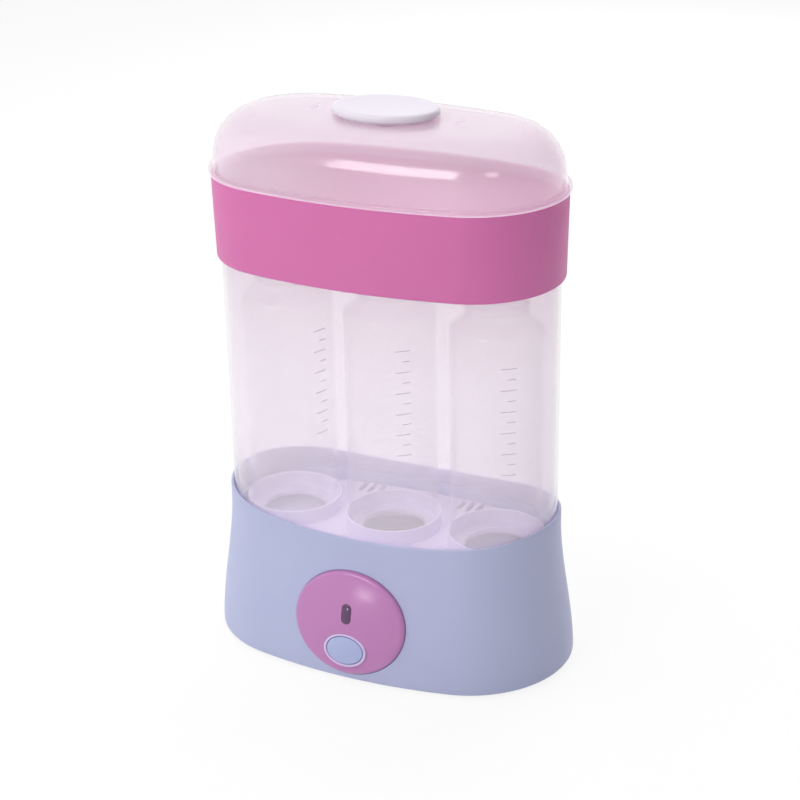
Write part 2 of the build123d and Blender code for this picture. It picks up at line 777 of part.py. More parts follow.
def bottle_rack():
    """Perforated plate on legs, with a ring for each bottle."""
    face = oval(well_half_x - rack_gap, well_half_y - rack_gap)
    plate = tall(face, rack_top_z - rack_thickness, rack_top_z)
    ring_inner = bottle_radius + ring_gap
    for x in bottle_spots:
        ring = Circle(ring_inner + ring_wall) - Circle(ring_inner)
        plate += Pos(x, 0) * tall(ring, rack_top_z - rack_thickness / 2, rack_top_z + ring_height)
    leg_spots = [(-rack_leg_x, 0), (rack_leg_x, 0)]
    leg_spots += [(i * rack_leg_spread_x, j * rack_leg_spread_y) for i in (-1, 1) for j in (-1, 1)]
    for x, y in leg_spots:
        plate += Pos(x, y) * tall(Circle(rack_leg_radius), deck_top_z, rack_top_z - rack_thickness)
    plate_low = rack_top_z - rack_thickness - cut_margin
    for x in bottle_spots:
        plate -= Pos(x, 0) * tall(Circle(drain_radius), plate_low, rack_top_z + cut_margin)
    side_y = well_half_y - rack_gap - rack_slot_length / 2 - rack_slot_edge
    spots = []
    for x in (-bottle_pitch / 2, bottle_pitch / 2):
        for side in (-1, 1):
            for step in (-1, 0, 1):
                spots.append((x + step * 2 * rack_slot_width, side * side_y))
    plate -= tall(slots(rack_slot_length, rack_slot_width, spots), plate_low, rack_top_z + cut_margin)
    return plate


def feeding_bottle(x):
    """Open clear bottle: straight body, round shoulder and a neck with thread beads."""
    def outline(inset, low, top):
        radius = bottle_radius - inset
        neck = neck_radius - inset
        foot = bottle_foot_radius - inset
        lines = [
            Line((0, low), (radius - foot, low)),
            RadiusArc((radius - foot, low), (radius, low + foot), -foot),
            Line((radius, low + foot), (radius, bottle_shoulder_z)),
            Spline([(radius, bottle_shoulder_z), (neck, bottle_neck_z)], tangents=[(0, 1), (0, 1)]),
            Line((neck, bottle_neck_z), (neck, top)),
            Line((neck, top), (0, top)),
            Line((0, top), (0, low)),
        ]
        return revolve(Plane.XZ * make_face(Wire(lines)), Axis.Z)
    bottle = outline(0, rack_top_z, bottle_top_z)
    for i in range(thread_count):
        bead = Pos(neck_radius, bottle_top_z - thread_start - thread_pitch * i) * Circle(thread_depth)
        bottle += revolve(Plane.XZ * bead, Axis.Z)
    bottle -= outline(bottle_wall, rack_top_z + bottle_floor, bottle_top_z + cut_margin)
    return Pos(x, 0) * bottle


parts = {
    "base_shell": base_shell(),
    "bottom_cover": bottom_cover(),
    "cover_screws": cover_screws(),
    "rubber_feet": rubber_feet(),
    "heating_plate": heating_plate(),
    "plate_seal": plate_seal(),
    "heating_element": heating_element(),
    "plate_strap": plate_strap(),
    "strap_nut": strap_nut(),
    "strap_screws": strap_screws(),
    "thermostat": thermostat(),
    "thermal_fuse": thermal_fuse(),
    "control_panel": control_panel(),
    "indicator_lens": indicator_lens(),
    "button_collar": button_collar(),
    "start_button": start_button(),
    "tact_switch": tact_switch(),
    "indicator_led": indicator_led(),
    "control_board": control_board(),
    "board_screws": board_screws(),
    "power_inlet": power_inlet(),
    "inlet_blades": inlet_blades(),
    "clear_sleeve": clear_sleeve(),
    "accessory_tray": accessory_tray(),
    "lid": lid(),
    "lid_grip": lid_grip(),
    "grip_retainer": grip_retainer(),
    "bottle_rack": bottle_rack(),
    "bottle_left": feeding_bottle(bottle_spots[0]),
    "bottle_middle": feeding_bottle(bottle_spots[1]),
    "bottle_right": feeding_bottle(bottle_spots[2]),
}

os.makedirs("parts", exist_ok=True)
for name, shape in parts.items():
    export_step(shape, f"parts/{name}.step")
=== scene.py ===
"""Looks of an electric bottle sterilizer: fine skins, finishes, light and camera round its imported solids.

The classes hold their sizes in millimetres, in the frame of the solids: X is the width, -Y the front
and Z is up. Meshes are written in metres.
"""

import json
import logging
import math
from collections.abc import Callable
from dataclasses import dataclass, field
from enum import Enum

import bmesh
import bpy
from bpy.types import Material, Mesh, Node, NodeSocket, NodeTree, Object
from mathutils import Matrix, Vector

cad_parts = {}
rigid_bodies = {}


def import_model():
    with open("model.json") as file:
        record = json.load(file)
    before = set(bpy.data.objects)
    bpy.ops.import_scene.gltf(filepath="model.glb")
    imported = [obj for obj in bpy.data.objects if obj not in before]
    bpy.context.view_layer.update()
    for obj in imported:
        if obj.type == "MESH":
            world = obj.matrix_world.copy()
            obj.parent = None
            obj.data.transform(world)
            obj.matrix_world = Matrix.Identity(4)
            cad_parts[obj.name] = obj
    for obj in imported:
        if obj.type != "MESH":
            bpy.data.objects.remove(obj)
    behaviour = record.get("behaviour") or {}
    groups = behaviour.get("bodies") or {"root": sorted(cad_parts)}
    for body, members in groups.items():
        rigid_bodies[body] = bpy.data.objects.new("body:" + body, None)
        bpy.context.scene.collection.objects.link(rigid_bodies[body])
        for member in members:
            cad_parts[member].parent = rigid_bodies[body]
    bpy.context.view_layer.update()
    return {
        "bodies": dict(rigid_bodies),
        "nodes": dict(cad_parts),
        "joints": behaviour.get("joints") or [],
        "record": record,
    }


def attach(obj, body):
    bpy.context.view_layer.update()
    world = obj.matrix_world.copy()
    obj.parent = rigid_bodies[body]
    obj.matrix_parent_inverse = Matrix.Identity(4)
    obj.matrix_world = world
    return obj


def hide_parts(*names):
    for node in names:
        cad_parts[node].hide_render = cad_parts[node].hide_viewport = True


MM = 0.001
# Depth of the crown of a moulding's long sides.
FRONT_CROWN = 5.0
# Segments of each long side and of each round end of an outline.
SIDE_STEPS = 40
END_STEPS = 36
# Faces that meet at more than this angle keep a crisp edge.
SMOOTH_ANGLE = math.radians(32)
# A rounded corner gets a segment for about each such turn.
ARC_STEP = math.radians(14)
# Corners of a solid's loose triangles are one point within this distance, in metres.
WELD = 1e-6
# Sizes of the patches in which handling dulls a face, and in which the melt's colour drifts.
FINGERTIP = 14.0
FLOW_CLOUD = 45.0
WHITE = (1.0, 1.0, 1.0, 1.0)
ORIGIN = (0.0, 0.0, 0.0)
# A cutter that goes right through reaches this far below and above its place.
THROUGH = (-20.0, 20.0)

Point = tuple[float, float, float]
Ring = list[Point]
Spot = tuple[float, float]
Height = Callable[[float, float], float]
log = logging.getLogger("sterilizer")


class Ends(Enum):
    """How the two ends of a skin are closed."""

    LOOPED = "the last ring is joined to the first"
    CAPPED = "each end is closed over its middle"


class Face(Enum):
    """Side of the housing, as the sign of its Y."""

    FRONT = -1
    BACK = 1


class Lay(Enum):
    """Direction of the fine lines that a tool leaves in metal."""

    TURNED = "circles round the part's axis"
    DRAWN = "straight lines along X"
    BLASTED = "no direction"


@dataclass(frozen=True)
class Oval:
    """Plan of every moulding: two shallow crowned sides and two round ends, all tangent.

    Two of them with the same growth in both halves are exact parallel curves.
    """

    half_x: float
    half_y: float

    def grown(self, reach: float) -> "Oval":
        """Returns the parallel oval that a reach further out."""
        return Oval(self.half_x + reach, self.half_y + reach)

    def toward(self, other: "Oval", share: float) -> "Oval":
        """Finds the oval a share of the way to another.

        Args:
            other: The other.
            share: 0 for this one, 1 for the other.

        Returns:
            The oval.
        """
        return Oval(
            self.half_x + (other.half_x - self.half_x) * share,
            self.half_y + (other.half_y - self.half_y) * share,
        )

    def at(self, turn: float) -> Spot:
        """Finds a point of the outline.

        Args:
            turn: 0 to 1 along the front, 1 to 2 round the right end, 2 to 4 the same at the back and left.

        Returns:
            The point's x and y.
        """
        if turn >= 2:
            x, y = self.at(turn - 2)
            return -x, -y
        end_radius = self.half_y - FRONT_CROWN
        end_x = self.half_x - end_radius
        side_radius = (end_x**2 + self.half_y**2 - end_radius**2) / (2 * FRONT_CROWN)
        lean = math.atan2(end_x, side_radius - self.half_y)
        if turn < 1:
            angle = lean * (2 * turn - 1)
            return side_radius * math.sin(angle), side_radius * (1 - math.cos(angle)) - self.half_y
        angle = (math.pi / 2 - lean) * (2 * (turn - 1) - 1)
        return end_x + end_radius * math.cos(angle), end_radius * math.sin(angle)

    def ring(self, z: float) -> Ring:
        """Returns the outline's points at a height."""
        return [(*self.at(turn), z) for turn in TURNS]

    def rings(self, profile: list[Spot]) -> list[Ring]:
        """Returns the parallel outlines of a profile of offsets and heights."""
        return [self.grown(offset).ring(z) for offset, z in profile]


# Where every outline has its points, so that any two of them match.
TURNS = [
    half + part
    for half in (0, 2)
    for part in (
        [i / SIDE_STEPS for i in range(SIDE_STEPS)] + [1 + i / END_STEPS for i in range(END_STEPS)]
    )
]


def ellipse(half_x: float, half_y: float, height: Height, count: int = 96) -> Ring:
    """Lays points on an ellipse.

    Args:
        half_x: Half its width.
        half_y: Half its depth.
        height: Height of a point at x and y.
        count: How many points.

    Returns:
        The points, counterclockwise from above.
    """
    ring = []
    for i in range(count):
        angle = 2 * math.pi * i / count
        x, y = half_x * math.cos(angle), half_y * math.sin(angle)
        ring.append((x, y, height(x, y)))
    return ring


def levels(half_x: float, half_y: float, profile: list[Spot]) -> list[Ring]:
    """Returns level ellipses that follow a profile of offsets and heights."""
    return [ellipse(half_x + offset, half_y + offset, lambda x, y: z) for offset, z in profile]


def circle(radius: float, z: float, count: int = 96) -> Ring:
    """Returns the points of a level circle round the Z axis."""
    return ellipse(radius, radius, lambda x, y: z, count)


def crowned(half: Spot, radius: float, height: Height, steps: int, count: int) -> list[Ring]:
    """Lays rings over a crowned oval face: round its edge, then in towards its middle.

    Args:
        half: Half its width and half its depth.
        radius: Radius of its edge.
        height: Height of the crown at x and y.
        steps: Segments of the edge.
        count: Steps from the edge to the middle.

    Returns:
        The rings.
    """
    half_x, half_y = half
    rings = []
    for sin, cos in quarter(steps):
        inset, drop = radius * (1 - cos), radius * (1 - sin)
        rings.append(ellipse(half_x - inset, half_y - inset, lambda x, y: height(x, y) - drop))
    for k in range(count - 1, 0, -1):
        share = k / count
        rings.append(ellipse((half_x - radius) * share, (half_y - radius) * share, height))
    return rings


def facing(ring: Ring, radius: float, z: float) -> Ring:
    """Lays a circle whose points face those of another ring."""
    angles = [math.atan2(y, x) for x, y, _ in ring]
    return [(radius * math.cos(angle), radius * math.sin(angle), z) for angle in angles]


def between(first: Ring, last: Ring, shares: tuple[float, ...]) -> list[Ring]:
    """Lays rings between two others at the given shares of the way."""
    return [[tuple(Vector(a).lerp(Vector(b), share)) for a, b in zip(first, last)] for share in shares]


def quarter(steps: int, first: int = 0) -> list[Spot]:
    """Returns sine and cosine at the steps of a quarter turn, from the first given one to the last."""
    angles = [math.pi / 2 * k / steps for k in range(first, steps + 1)]
    return [(math.sin(angle), math.cos(angle)) for angle in angles]


def rounded_box(size: Spot, corner: float, z: float, steps: int = 6) -> Ring:
    """Lays points on a rectangle with round corners, a slot where the corners are half its depth.

    Args:
        size: Overall size along X and Y.
        corner: Radius of the corners.
        z: Height of the points.
        steps: Segments of each corner.

    Returns:
        The points, counterclockwise from above.
    """
    reach_x, reach_y = size[0] / 2 - corner, size[1] / 2 - corner
    ring = []
    for i, (sx, sy) in enumerate(((1, 1), (-1, 1), (-1, -1), (1, -1))):
        for k in range(steps + 1):
            angle = math.pi / 2 * (i + k / steps)
            x, y = sx * reach_x + corner * math.cos(angle), sy * reach_y + corner * math.sin(angle)
            ring.append((x, y, z))
    return ring


def soften(corners: list[Point]) -> list[Spot]:
    """Rounds the corners of a closed profile.

    Args:
        corners: Offset, height and radius of each corner.

    Returns:
        Offset and height of each point of the rounded profile.
    """
    profile = []
    for i, (offset, z, radius) in enumerate(corners):
        here = Vector((offset, z))
        before = (Vector(corners[i - 1][:2]) - here).normalized()
        after = (Vector(corners[(i + 1) % len(corners)][:2]) - here).normalized()
        bend = math.pi - before.angle(after)
        if radius == 0 or bend < 0.01:
            profile.append((offset, z))
            continue
        reach = radius * math.tan(bend / 2)
        middle = here + (before + after).normalized() * (radius / math.cos(bend / 2))
        start = (here + before * reach - middle).normalized()
        end = (here + after * reach - middle).normalized()
        steps = max(2, round(bend / ARC_STEP))
        for k in range(steps + 1):
            spoke = start.slerp(end, k / steps)
            profile.append(tuple(middle + spoke * radius))
    return profile


def skin(name: str, rings: list[Ring], ends: Ends, place: Matrix | None = None) -> Object:
    """Draws a closed skin over rings of equally many points.

    Args:
        name: Name of the new object.
        rings: Its rings in order, outside upwards and inside downwards.
        ends: How its ends are closed.
        place: Where it goes, in millimetres, if not where its points say.

    Returns:
        The new object, with its place in its mesh.
    """
    count = len(rings[0])
    points = [Vector(point) for ring in rings for point in ring]
    pairs = [(i, i + 1) for i in range(len(rings) - 1)]
    if ends is Ends.LOOPED:
        pairs.append((len(rings) - 1, 0))
    faces = []
    for low, high in pairs:
        for i in range(count):
            j = (i + 1) % count
            faces.append((low * count + i, low * count + j, high * count + j, high * count + i))
    if ends is Ends.CAPPED:
        last = (len(rings) - 1) * count
        for first, flipped in ((0, True), (last, False)):
            middle = sum((points[first + i] for i in range(count)), Vector()) / count
            points.append(middle)
            for i in range(count):
                edge = (first + i, first + (i + 1) % count)
                faces.append((len(points) - 1, *(reversed(edge) if flipped else edge)))
    if place is not None:
        points = [place @ point for point in points]
    mesh = bpy.data.meshes.new(name)
    mesh.from_pydata([tuple(point * MM) for point in points], [], faces)
    mesh.validate()
    return linked(name, mesh)


def turned(name: str, profile: list[Spot], count: int = 96, ends: Ends = Ends.CAPPED) -> Object:
    """Draws a skin round the Z axis that follows a profile of radii and heights."""
    return skin(name, [circle(radius, z, count) for radius, z in profile], ends)


def block(name: str, size: Spot, corner: float, heights: Spot, steps: int = 6) -> Object:
    """Draws an upright block with rounded corners between two heights."""
    return skin(name, [rounded_box(size, corner, z, steps) for z in heights], Ends.CAPPED)


def smooth(mesh: Mesh) -> None:
    """Gives a mesh smooth faces and sharp corners."""
    mesh.shade_smooth()
    mesh.set_sharp_from_angle(angle=SMOOTH_ANGLE)


def linked(name: str, mesh: Mesh) -> Object:
    """Puts a mesh into the scene, smoothed.

    Args:
        name: Name of its object.
        mesh: The mesh.

    Returns:
        The new object.
    """
    obj = bpy.data.objects.new(name, mesh)
    bpy.context.scene.collection.objects.link(obj)
    smooth(mesh)
    return obj


def baked(obj: Object) -> Object:
    """Turns an object's modifiers into its mesh and removes them.

    Args:
        obj: The object.

    Returns:
        The same object.
    """
    graph = bpy.context.evaluated_depsgraph_get()
    mesh = bpy.data.meshes.new_from_object(obj.evaluated_get(graph))
    obj.modifiers.clear()
    old = obj.data
    obj.data = mesh
    bpy.data.meshes.remove(old)
    smooth(mesh)
    return obj


def cut(obj: Object, *cutters: Object) -> None:
    """Takes closed cutters out of a closed piece.

    Args:
        obj: The piece.
        cutters: The cutters, which are used up.
    """
    for cutter in cutters:
        tool = obj.modifiers.new("cut", "BOOLEAN")
        tool.operation, tool.solver, tool.object = "DIFFERENCE", "EXACT", cutter
    baked(obj)
    for cutter in cutters:
        bpy.data.objects.remove(cutter)


def merged(name: str, *parts: Object, weld: float = 0.0) -> Object:
    """Makes one new object of the meshes of others, which stay.

    Args:
        name: Name of the new object.
        parts: The others.
        weld: Distance in metres within which points become one.

    Returns:
        The new object.
    """
    work = bmesh.new()
    for part in parts:
        work.from_mesh(part.data)
    if weld:
        bmesh.ops.remove_doubles(work, verts=work.verts, dist=weld)
    mesh = bpy.data.meshes.new(name)
    work.to_mesh(mesh)
    work.free()
    return linked(name, mesh)


def joined(name: str, *parts: Object) -> Object:
    """Makes one object of several.

    Args:
        name: Name of the new object.
        parts: The others, which are used up.

    Returns:
        The new object.
    """
    whole = merged(name, *parts)
    for part in parts:
        bpy.data.objects.remove(part)
    return whole


def linear(code: str) -> tuple[float, float, float, float]:
    """Turns an sRGB hex value such as "#B5BEDA" into a linear colour."""
    shares = [int(code[i : i + 2], 16) / 255 for i in (1, 3, 5)]
    return (*(s / 12.92 if s <= 0.04045 else ((s + 0.055) / 1.055) ** 2.4 for s in shares), 1.0)


def add_node(tree: NodeTree, kind: str, values: dict[str | int, object] | None = None) -> Node:
    """Adds a node with its settings and links.

    Args:
        tree: The tree it goes into.
        kind: The node's type.
        values: Its properties, and its inputs by name or number: constants, or the outputs that feed them.

    Returns:
        The new node.
    """
    node = tree.nodes.new(kind)
    for key, value in (values or {}).items():
        if isinstance(value, NodeSocket):
            tree.links.new(value, node.inputs[key])
        elif isinstance(key, str) and hasattr(node, key):
            setattr(node, key, value)
        else:
            node.inputs[key].default_value = value
    return node


def blank(name: str) -> tuple[Material, NodeTree]:
    """Makes an empty material.

    Args:
        name: Its name.

    Returns:
        The material and its tree.
    """
    material = bpy.data.materials.new(name)
    material.use_nodes = True
    material.node_tree.nodes.clear()
    return material, material.node_tree


def cloud(tree: NodeTree, size: float, values: dict[str, float]) -> NodeSocket:
    """Adds an irregular pattern that is fixed to the piece.

    Args:
        tree: The material's tree.
        size: Size of its clouds in millimetres.
        values: Its detail, roughness and distortion.

    Returns:
        The pattern, 0 to 1.
    """
    place = add_node(tree, "ShaderNodeTexCoord").outputs["Object"]
    values = {"Vector": place, "Scale": 1 / (size * MM), **values}
    return add_node(tree, "ShaderNodeTexNoise", values).outputs["Fac"]


def grain(tree: NodeTree, size: float, depth: float, strength: float) -> NodeSocket:
    """Adds a fine bump.

    Args:
        tree: The material's tree.
        size: Width of a grain in millimetres.
        depth: Its depth in millimetres.
        strength: How much of it shows.

    Returns:
        The bumped normal.
    """
    height = cloud(tree, size, {"Detail": 3.0, "Roughness": 0.55})
    values = {"Strength": strength, "Distance": depth * MM, "Height": height}
    return add_node(tree, "ShaderNodeBump", values).outputs["Normal"]


def mottle(tree: NodeTree, first: str, second: str, size: float) -> NodeSocket:
    """Adds the slow drift of colour that a moulding shows where the melt has flowed.

    Args:
        tree: The material's tree.
        first: One colour as an sRGB hex value.
        second: The other.
        size: Size of a cloud in millimetres.

    Returns:
        The colour.
    """
    share = cloud(tree, size, {"Detail": 2.0, "Roughness": 0.5, "Distortion": 0.4})
    values = {"data_type": "RGBA", 0: share, 6: linear(first), 7: linear(second)}
    return add_node(tree, "ShaderNodeMix", values).outputs[2]


@dataclass(frozen=True)
class Moulded:
    """Opaque injection-moulded plastic: an even colour that drifts a little, and the mould's fine grain.

    Soft is the share of light that spreads under its face, and handled how far its roughness drifts.
    """

    name: str
    colour: str
    drift: str
    roughness: float
    grain_size: float = 0.7
    grain_depth: float = 0.02
    grain_strength: float = 0.35
    coat: float = 0.0
    soft: float = 0.0
    handled: float = 0.04

    def sheen_map(self, tree: NodeTree) -> NodeSocket:
        """Adds a roughness that drifts in patches the size of a fingertip, as handled plastic does.

        Args:
            tree: The material's tree.

        Returns:
            The roughness.
        """
        patches = cloud(tree, FINGERTIP, {"Detail": 1.0, "Roughness": 0.4})
        values = {"Value": patches, "From Min": 0.3, "From Max": 0.7}
        values |= {"To Min": self.roughness - self.handled, "To Max": self.roughness + self.handled}
        return add_node(tree, "ShaderNodeMapRange", values).outputs["Result"]

    def material(self) -> Material:
        """Makes the finish.

        Returns:
            The material.
        """
        material, tree = blank(self.name)
        values = {
            "Base Color": mottle(tree, self.colour, self.drift, FLOW_CLOUD),
            "Roughness": self.sheen_map(tree),
            "Normal": grain(tree, self.grain_size, self.grain_depth, self.grain_strength),
            "IOR": 1.49,
            "Coat Weight": self.coat,
            "Coat Roughness": 0.12,
            "Subsurface Weight": self.soft,
            "Subsurface Scale": 0.004,
        }
        shader = add_node(tree, "ShaderNodeBsdfPrincipled", values)
        add_node(tree, "ShaderNodeOutputMaterial", {"Surface": shader.outputs[0]})
        return material


@dataclass(frozen=True)
class Clear:
    """Milky clear plastic: a thin haze that is lit from both sides and thickens seen edge on, and a gloss.

    Its shadow is thinner than its haze, because the haze scatters the light on instead of stopping it.
    """

    name: str
    tint: str
    through: str
    haze: float
    edge_haze: float
    roughness: float
    gloss_roughness: float = 0.12
    ior: float = 1.45
    shadow: float = 0.08
    ripple_size: float = 9.0
    ripple_depth: float = 0.05
    ripple_strength: float = 0.12

    def share(self, tree: NodeTree) -> NodeSocket:
        """Adds how much haze a ray meets: more edge on, and little where it brings light.

        Args:
            tree: The material's tree.

        Returns:
            The share of rays that meet the haze.
        """
        slant = add_node(tree, "ShaderNodeLayerWeight", {"Blend": 0.35}).outputs["Facing"]
        values = {"Value": slant, "To Min": self.haze, "To Max": self.edge_haze}
        haze = add_node(tree, "ShaderNodeMapRange", values).outputs["Result"]
        path = add_node(tree, "ShaderNodeLightPath").outputs
        values = {"operation": "MAXIMUM", 0: path["Is Shadow Ray"], 1: path["Is Diffuse Ray"]}
        lighting = add_node(tree, "ShaderNodeMath", values).outputs[0]
        values = {"Value": lighting, "To Min": 1.0, "To Max": self.shadow}
        thinning = add_node(tree, "ShaderNodeMapRange", values).outputs["Result"]
        values = {"operation": "MULTIPLY", 0: haze, 1: thinning}
        return add_node(tree, "ShaderNodeMath", values).outputs[0]

    def mirror(self, tree: NodeTree) -> NodeSocket:
        """Adds the share of light that the face mirrors, the same on both of its sides.

        Args:
            tree: The material's tree.

        Returns:
            The share.
        """
        slant = add_node(tree, "ShaderNodeLayerWeight", {"Blend": 0.5}).outputs["Facing"]
        steep = add_node(tree, "ShaderNodeMath", {"operation": "POWER", 0: slant, 1: 5.0}).outputs[0]
        values = {"Value": steep, "To Min": ((self.ior - 1) / (self.ior + 1)) ** 2, "To Max": 1.0}
        return add_node(tree, "ShaderNodeMapRange", values).outputs["Result"]

    def material(self) -> Material:
        """Makes the finish.

        Returns:
            The material.
        """
        material, tree = blank(self.name)
        normal = grain(tree, self.ripple_size, self.ripple_depth, self.ripple_strength)
        tint = linear(self.tint)
        values = {"Roughness": self.roughness, "IOR": self.ior, "Base Color": tint, "Normal": normal}
        front = add_node(tree, "ShaderNodeBsdfPrincipled", values).outputs[0]
        behind = add_node(tree, "ShaderNodeBsdfTranslucent", {"Color": tint}).outputs[0]
        body = add_node(tree, "ShaderNodeMixShader", {0: 0.5, 1: front, 2: behind}).outputs[0]
        through = add_node(tree, "ShaderNodeBsdfTransparent", {"Color": linear(self.through)}).outputs[0]
        milky = add_node(tree, "ShaderNodeMixShader", {0: self.share(tree), 1: through, 2: body}).outputs[0]
        values = {"Color": WHITE, "Roughness": self.gloss_roughness, "Normal": normal}
        gloss = add_node(tree, "ShaderNodeBsdfAnisotropic", values).outputs[0]
        surface = add_node(tree, "ShaderNodeMixShader", {0: self.mirror(tree), 1: milky, 2: gloss})
        add_node(tree, "ShaderNodeOutputMaterial", {"Surface": surface.outputs[0]})
        return material


@dataclass(frozen=True)
class Metal:
    """Bare or plated metal with the fine lines of its making."""

    name: str
    colour: str
    roughness: float
    lay: Lay
    line: float = 0.5

    def lines(self, tree: NodeTree) -> NodeSocket:
        """Adds the pattern that the tool has left.

        Args:
            tree: The material's tree.

        Returns:
            The pattern, 0 to 1.
        """
        place = add_node(tree, "ShaderNodeTexCoord").outputs["Object"]
        if self.lay is Lay.TURNED:
            rings = {"wave_type": "RINGS", "rings_direction": "Z", "Distortion": 1.5, "Detail": 2.0}
            rings |= {"Vector": place, "Scale": 0.5 / (self.line * MM)}
            return add_node(tree, "ShaderNodeTexWave", rings).outputs["Fac"]
        stretch = 0.05 if self.lay is Lay.DRAWN else 1.0
        mapping = add_node(tree, "ShaderNodeMapping", {"Vector": place, "Scale": (stretch, 1.0, 1.0)})
        noise = {"Vector": mapping.outputs[0], "Scale": 1 / (self.line * MM), "Detail": 3.0}
        return add_node(tree, "ShaderNodeTexNoise", noise).outputs["Fac"]

    def material(self) -> Material:
        """Makes the finish.

        Returns:
            The material.
        """
        material, tree = blank(self.name)
        lines = self.lines(tree)
        values = {"Strength": 0.25, "Distance": 0.02 * MM, "Height": lines}
        bump = add_node(tree, "ShaderNodeBump", values).outputs["Normal"]
        values = {"Value": lines, "To Min": self.roughness * 0.8, "To Max": self.roughness * 1.25}
        rough = add_node(tree, "ShaderNodeMapRange", values).outputs["Result"]
        values = {"Metallic": 1.0, "Base Color": linear(self.colour), "Roughness": rough, "Normal": bump}
        shader = add_node(tree, "ShaderNodeBsdfPrincipled", values)
        add_node(tree, "ShaderNodeOutputMaterial", {"Surface": shader.outputs[0]})
        return material


# Each finish is named for its real material. The grains are drawn about five times too coarse, because
# the real ones are finer than a pixel.
FINISHES = {
    # ABS from a spark-eroded mould has a satin face with a broad soft highlight.
    "base_plastic": Moulded("satin_abs_pale_blue", "#AEB3D1", "#A7ACCC", 0.45),
    "button_plastic": Moulded("satin_abs_pale_blue_button", "#A6B0D4", "#A0AAD0", 0.4),
    "collar_plastic": Moulded("satin_abs_lilac", "#CDBBE0", "#C7B4DC", 0.38),
    "grip_plastic": Moulded("satin_abs_white_lilac", "#DED8E2", "#D9D2DE", 0.36),
    # Panel and window come from a polished mould, and show the lamps.
    "panel_plastic": Moulded(
        "polished_abs_orchid", "#B677AE", "#B072AA", 0.3, 1.2, 0.01, coat=0.4, handled=0.015
    ),
    "lens_smoke": Moulded("smoked_acrylic", "#552B5A", "#4D2652", 0.12, 1.5, 0.004, coat=0.5),
    # Polypropylene lets a little light into its face, which softens the shade on the band.
    "tray_plastic": Moulded("polypropylene_pink", "#CD6CA6", "#C767A1", 0.5, 1.0, 0.015, soft=0.05),
    "rack_plastic": Moulded("polypropylene_lilac", "#E4DFF8", "#DDD8F2", 0.42),
    # The clear walls are a little milky, most so in the lid, with a gloss that shows the lamps.
    "clear_plastic": Clear("clear_san_sleeve", "#FAF5FF", "#FEFCFD", 0.21, 0.36, 0.3),
    "lid_plastic": Clear("clear_san_lid", "#FCF5FF", "#FEFDFE", 0.31, 0.5, 0.22, 0.13),
    "bottle_plastic": Clear("frosted_polypropylene_bottle", "#FEF4FB", "#FEFEFE", 0.03, 0.07, 0.35, 0.2),
    # Rubber, silicone and the dark insulators are nearly without gloss.
    "foot_rubber": Moulded("nitrile_rubber_grey", "#8C8C94", "#84848C", 0.75, 0.9, 0.05),
    "seal_silicone": Moulded("pressed_silicone", "#E4E0DC", "#DCD8D4", 0.55),
    "bakelite_black": Moulded("phenolic_black", "#26242A", "#2C2A30", 0.5),
    "inlet_plastic": Moulded("nylon_inlet_black", "#2A2A30", "#303036", 0.45),
    "board_green": Moulded("glass_epoxy_board", "#2F6B4A", "#2A6344", 0.4),
    "led_red": Moulded("epoxy_lamp_red", "#B8323A", "#B02C34", 0.15),
    # The metals show the lines of the lathe or the roll, and the heater's tube is dull from annealing.
    "plate_steel": Metal("turned_stainless_steel", "#C9C7C4", 0.28, Lay.TURNED),
    "zinc_steel": Metal("zinc_plated_steel", "#BFC3C6", 0.35, Lay.DRAWN),
    "blade_brass": Metal("stamped_brass", "#D8B56A", 0.3, Lay.DRAWN),
    "element_sheath": Metal("annealed_incoloy_tube", "#7E7A78", 0.45, Lay.BLASTED),
}
# The bottles' scale is a thin matt ink.
MARK_FINISH = Moulded("printed_grey_ink", "#C9BDCB", "#C2B6C5", 0.6)


@dataclass(frozen=True)
class Grid:
    """Rows of copies at equal steps, set evenly about a middle."""

    step: Point
    count: int
    across: Point = ORIGIN
    rows: int = 1

    def first(self, middle: Point) -> list[float]:
        """Returns the place of the first copy."""
        ways = zip(middle, self.step, self.across)
        return [m - (s * (self.count - 1) + a * (self.rows - 1)) / 2 for m, s, a in ways]


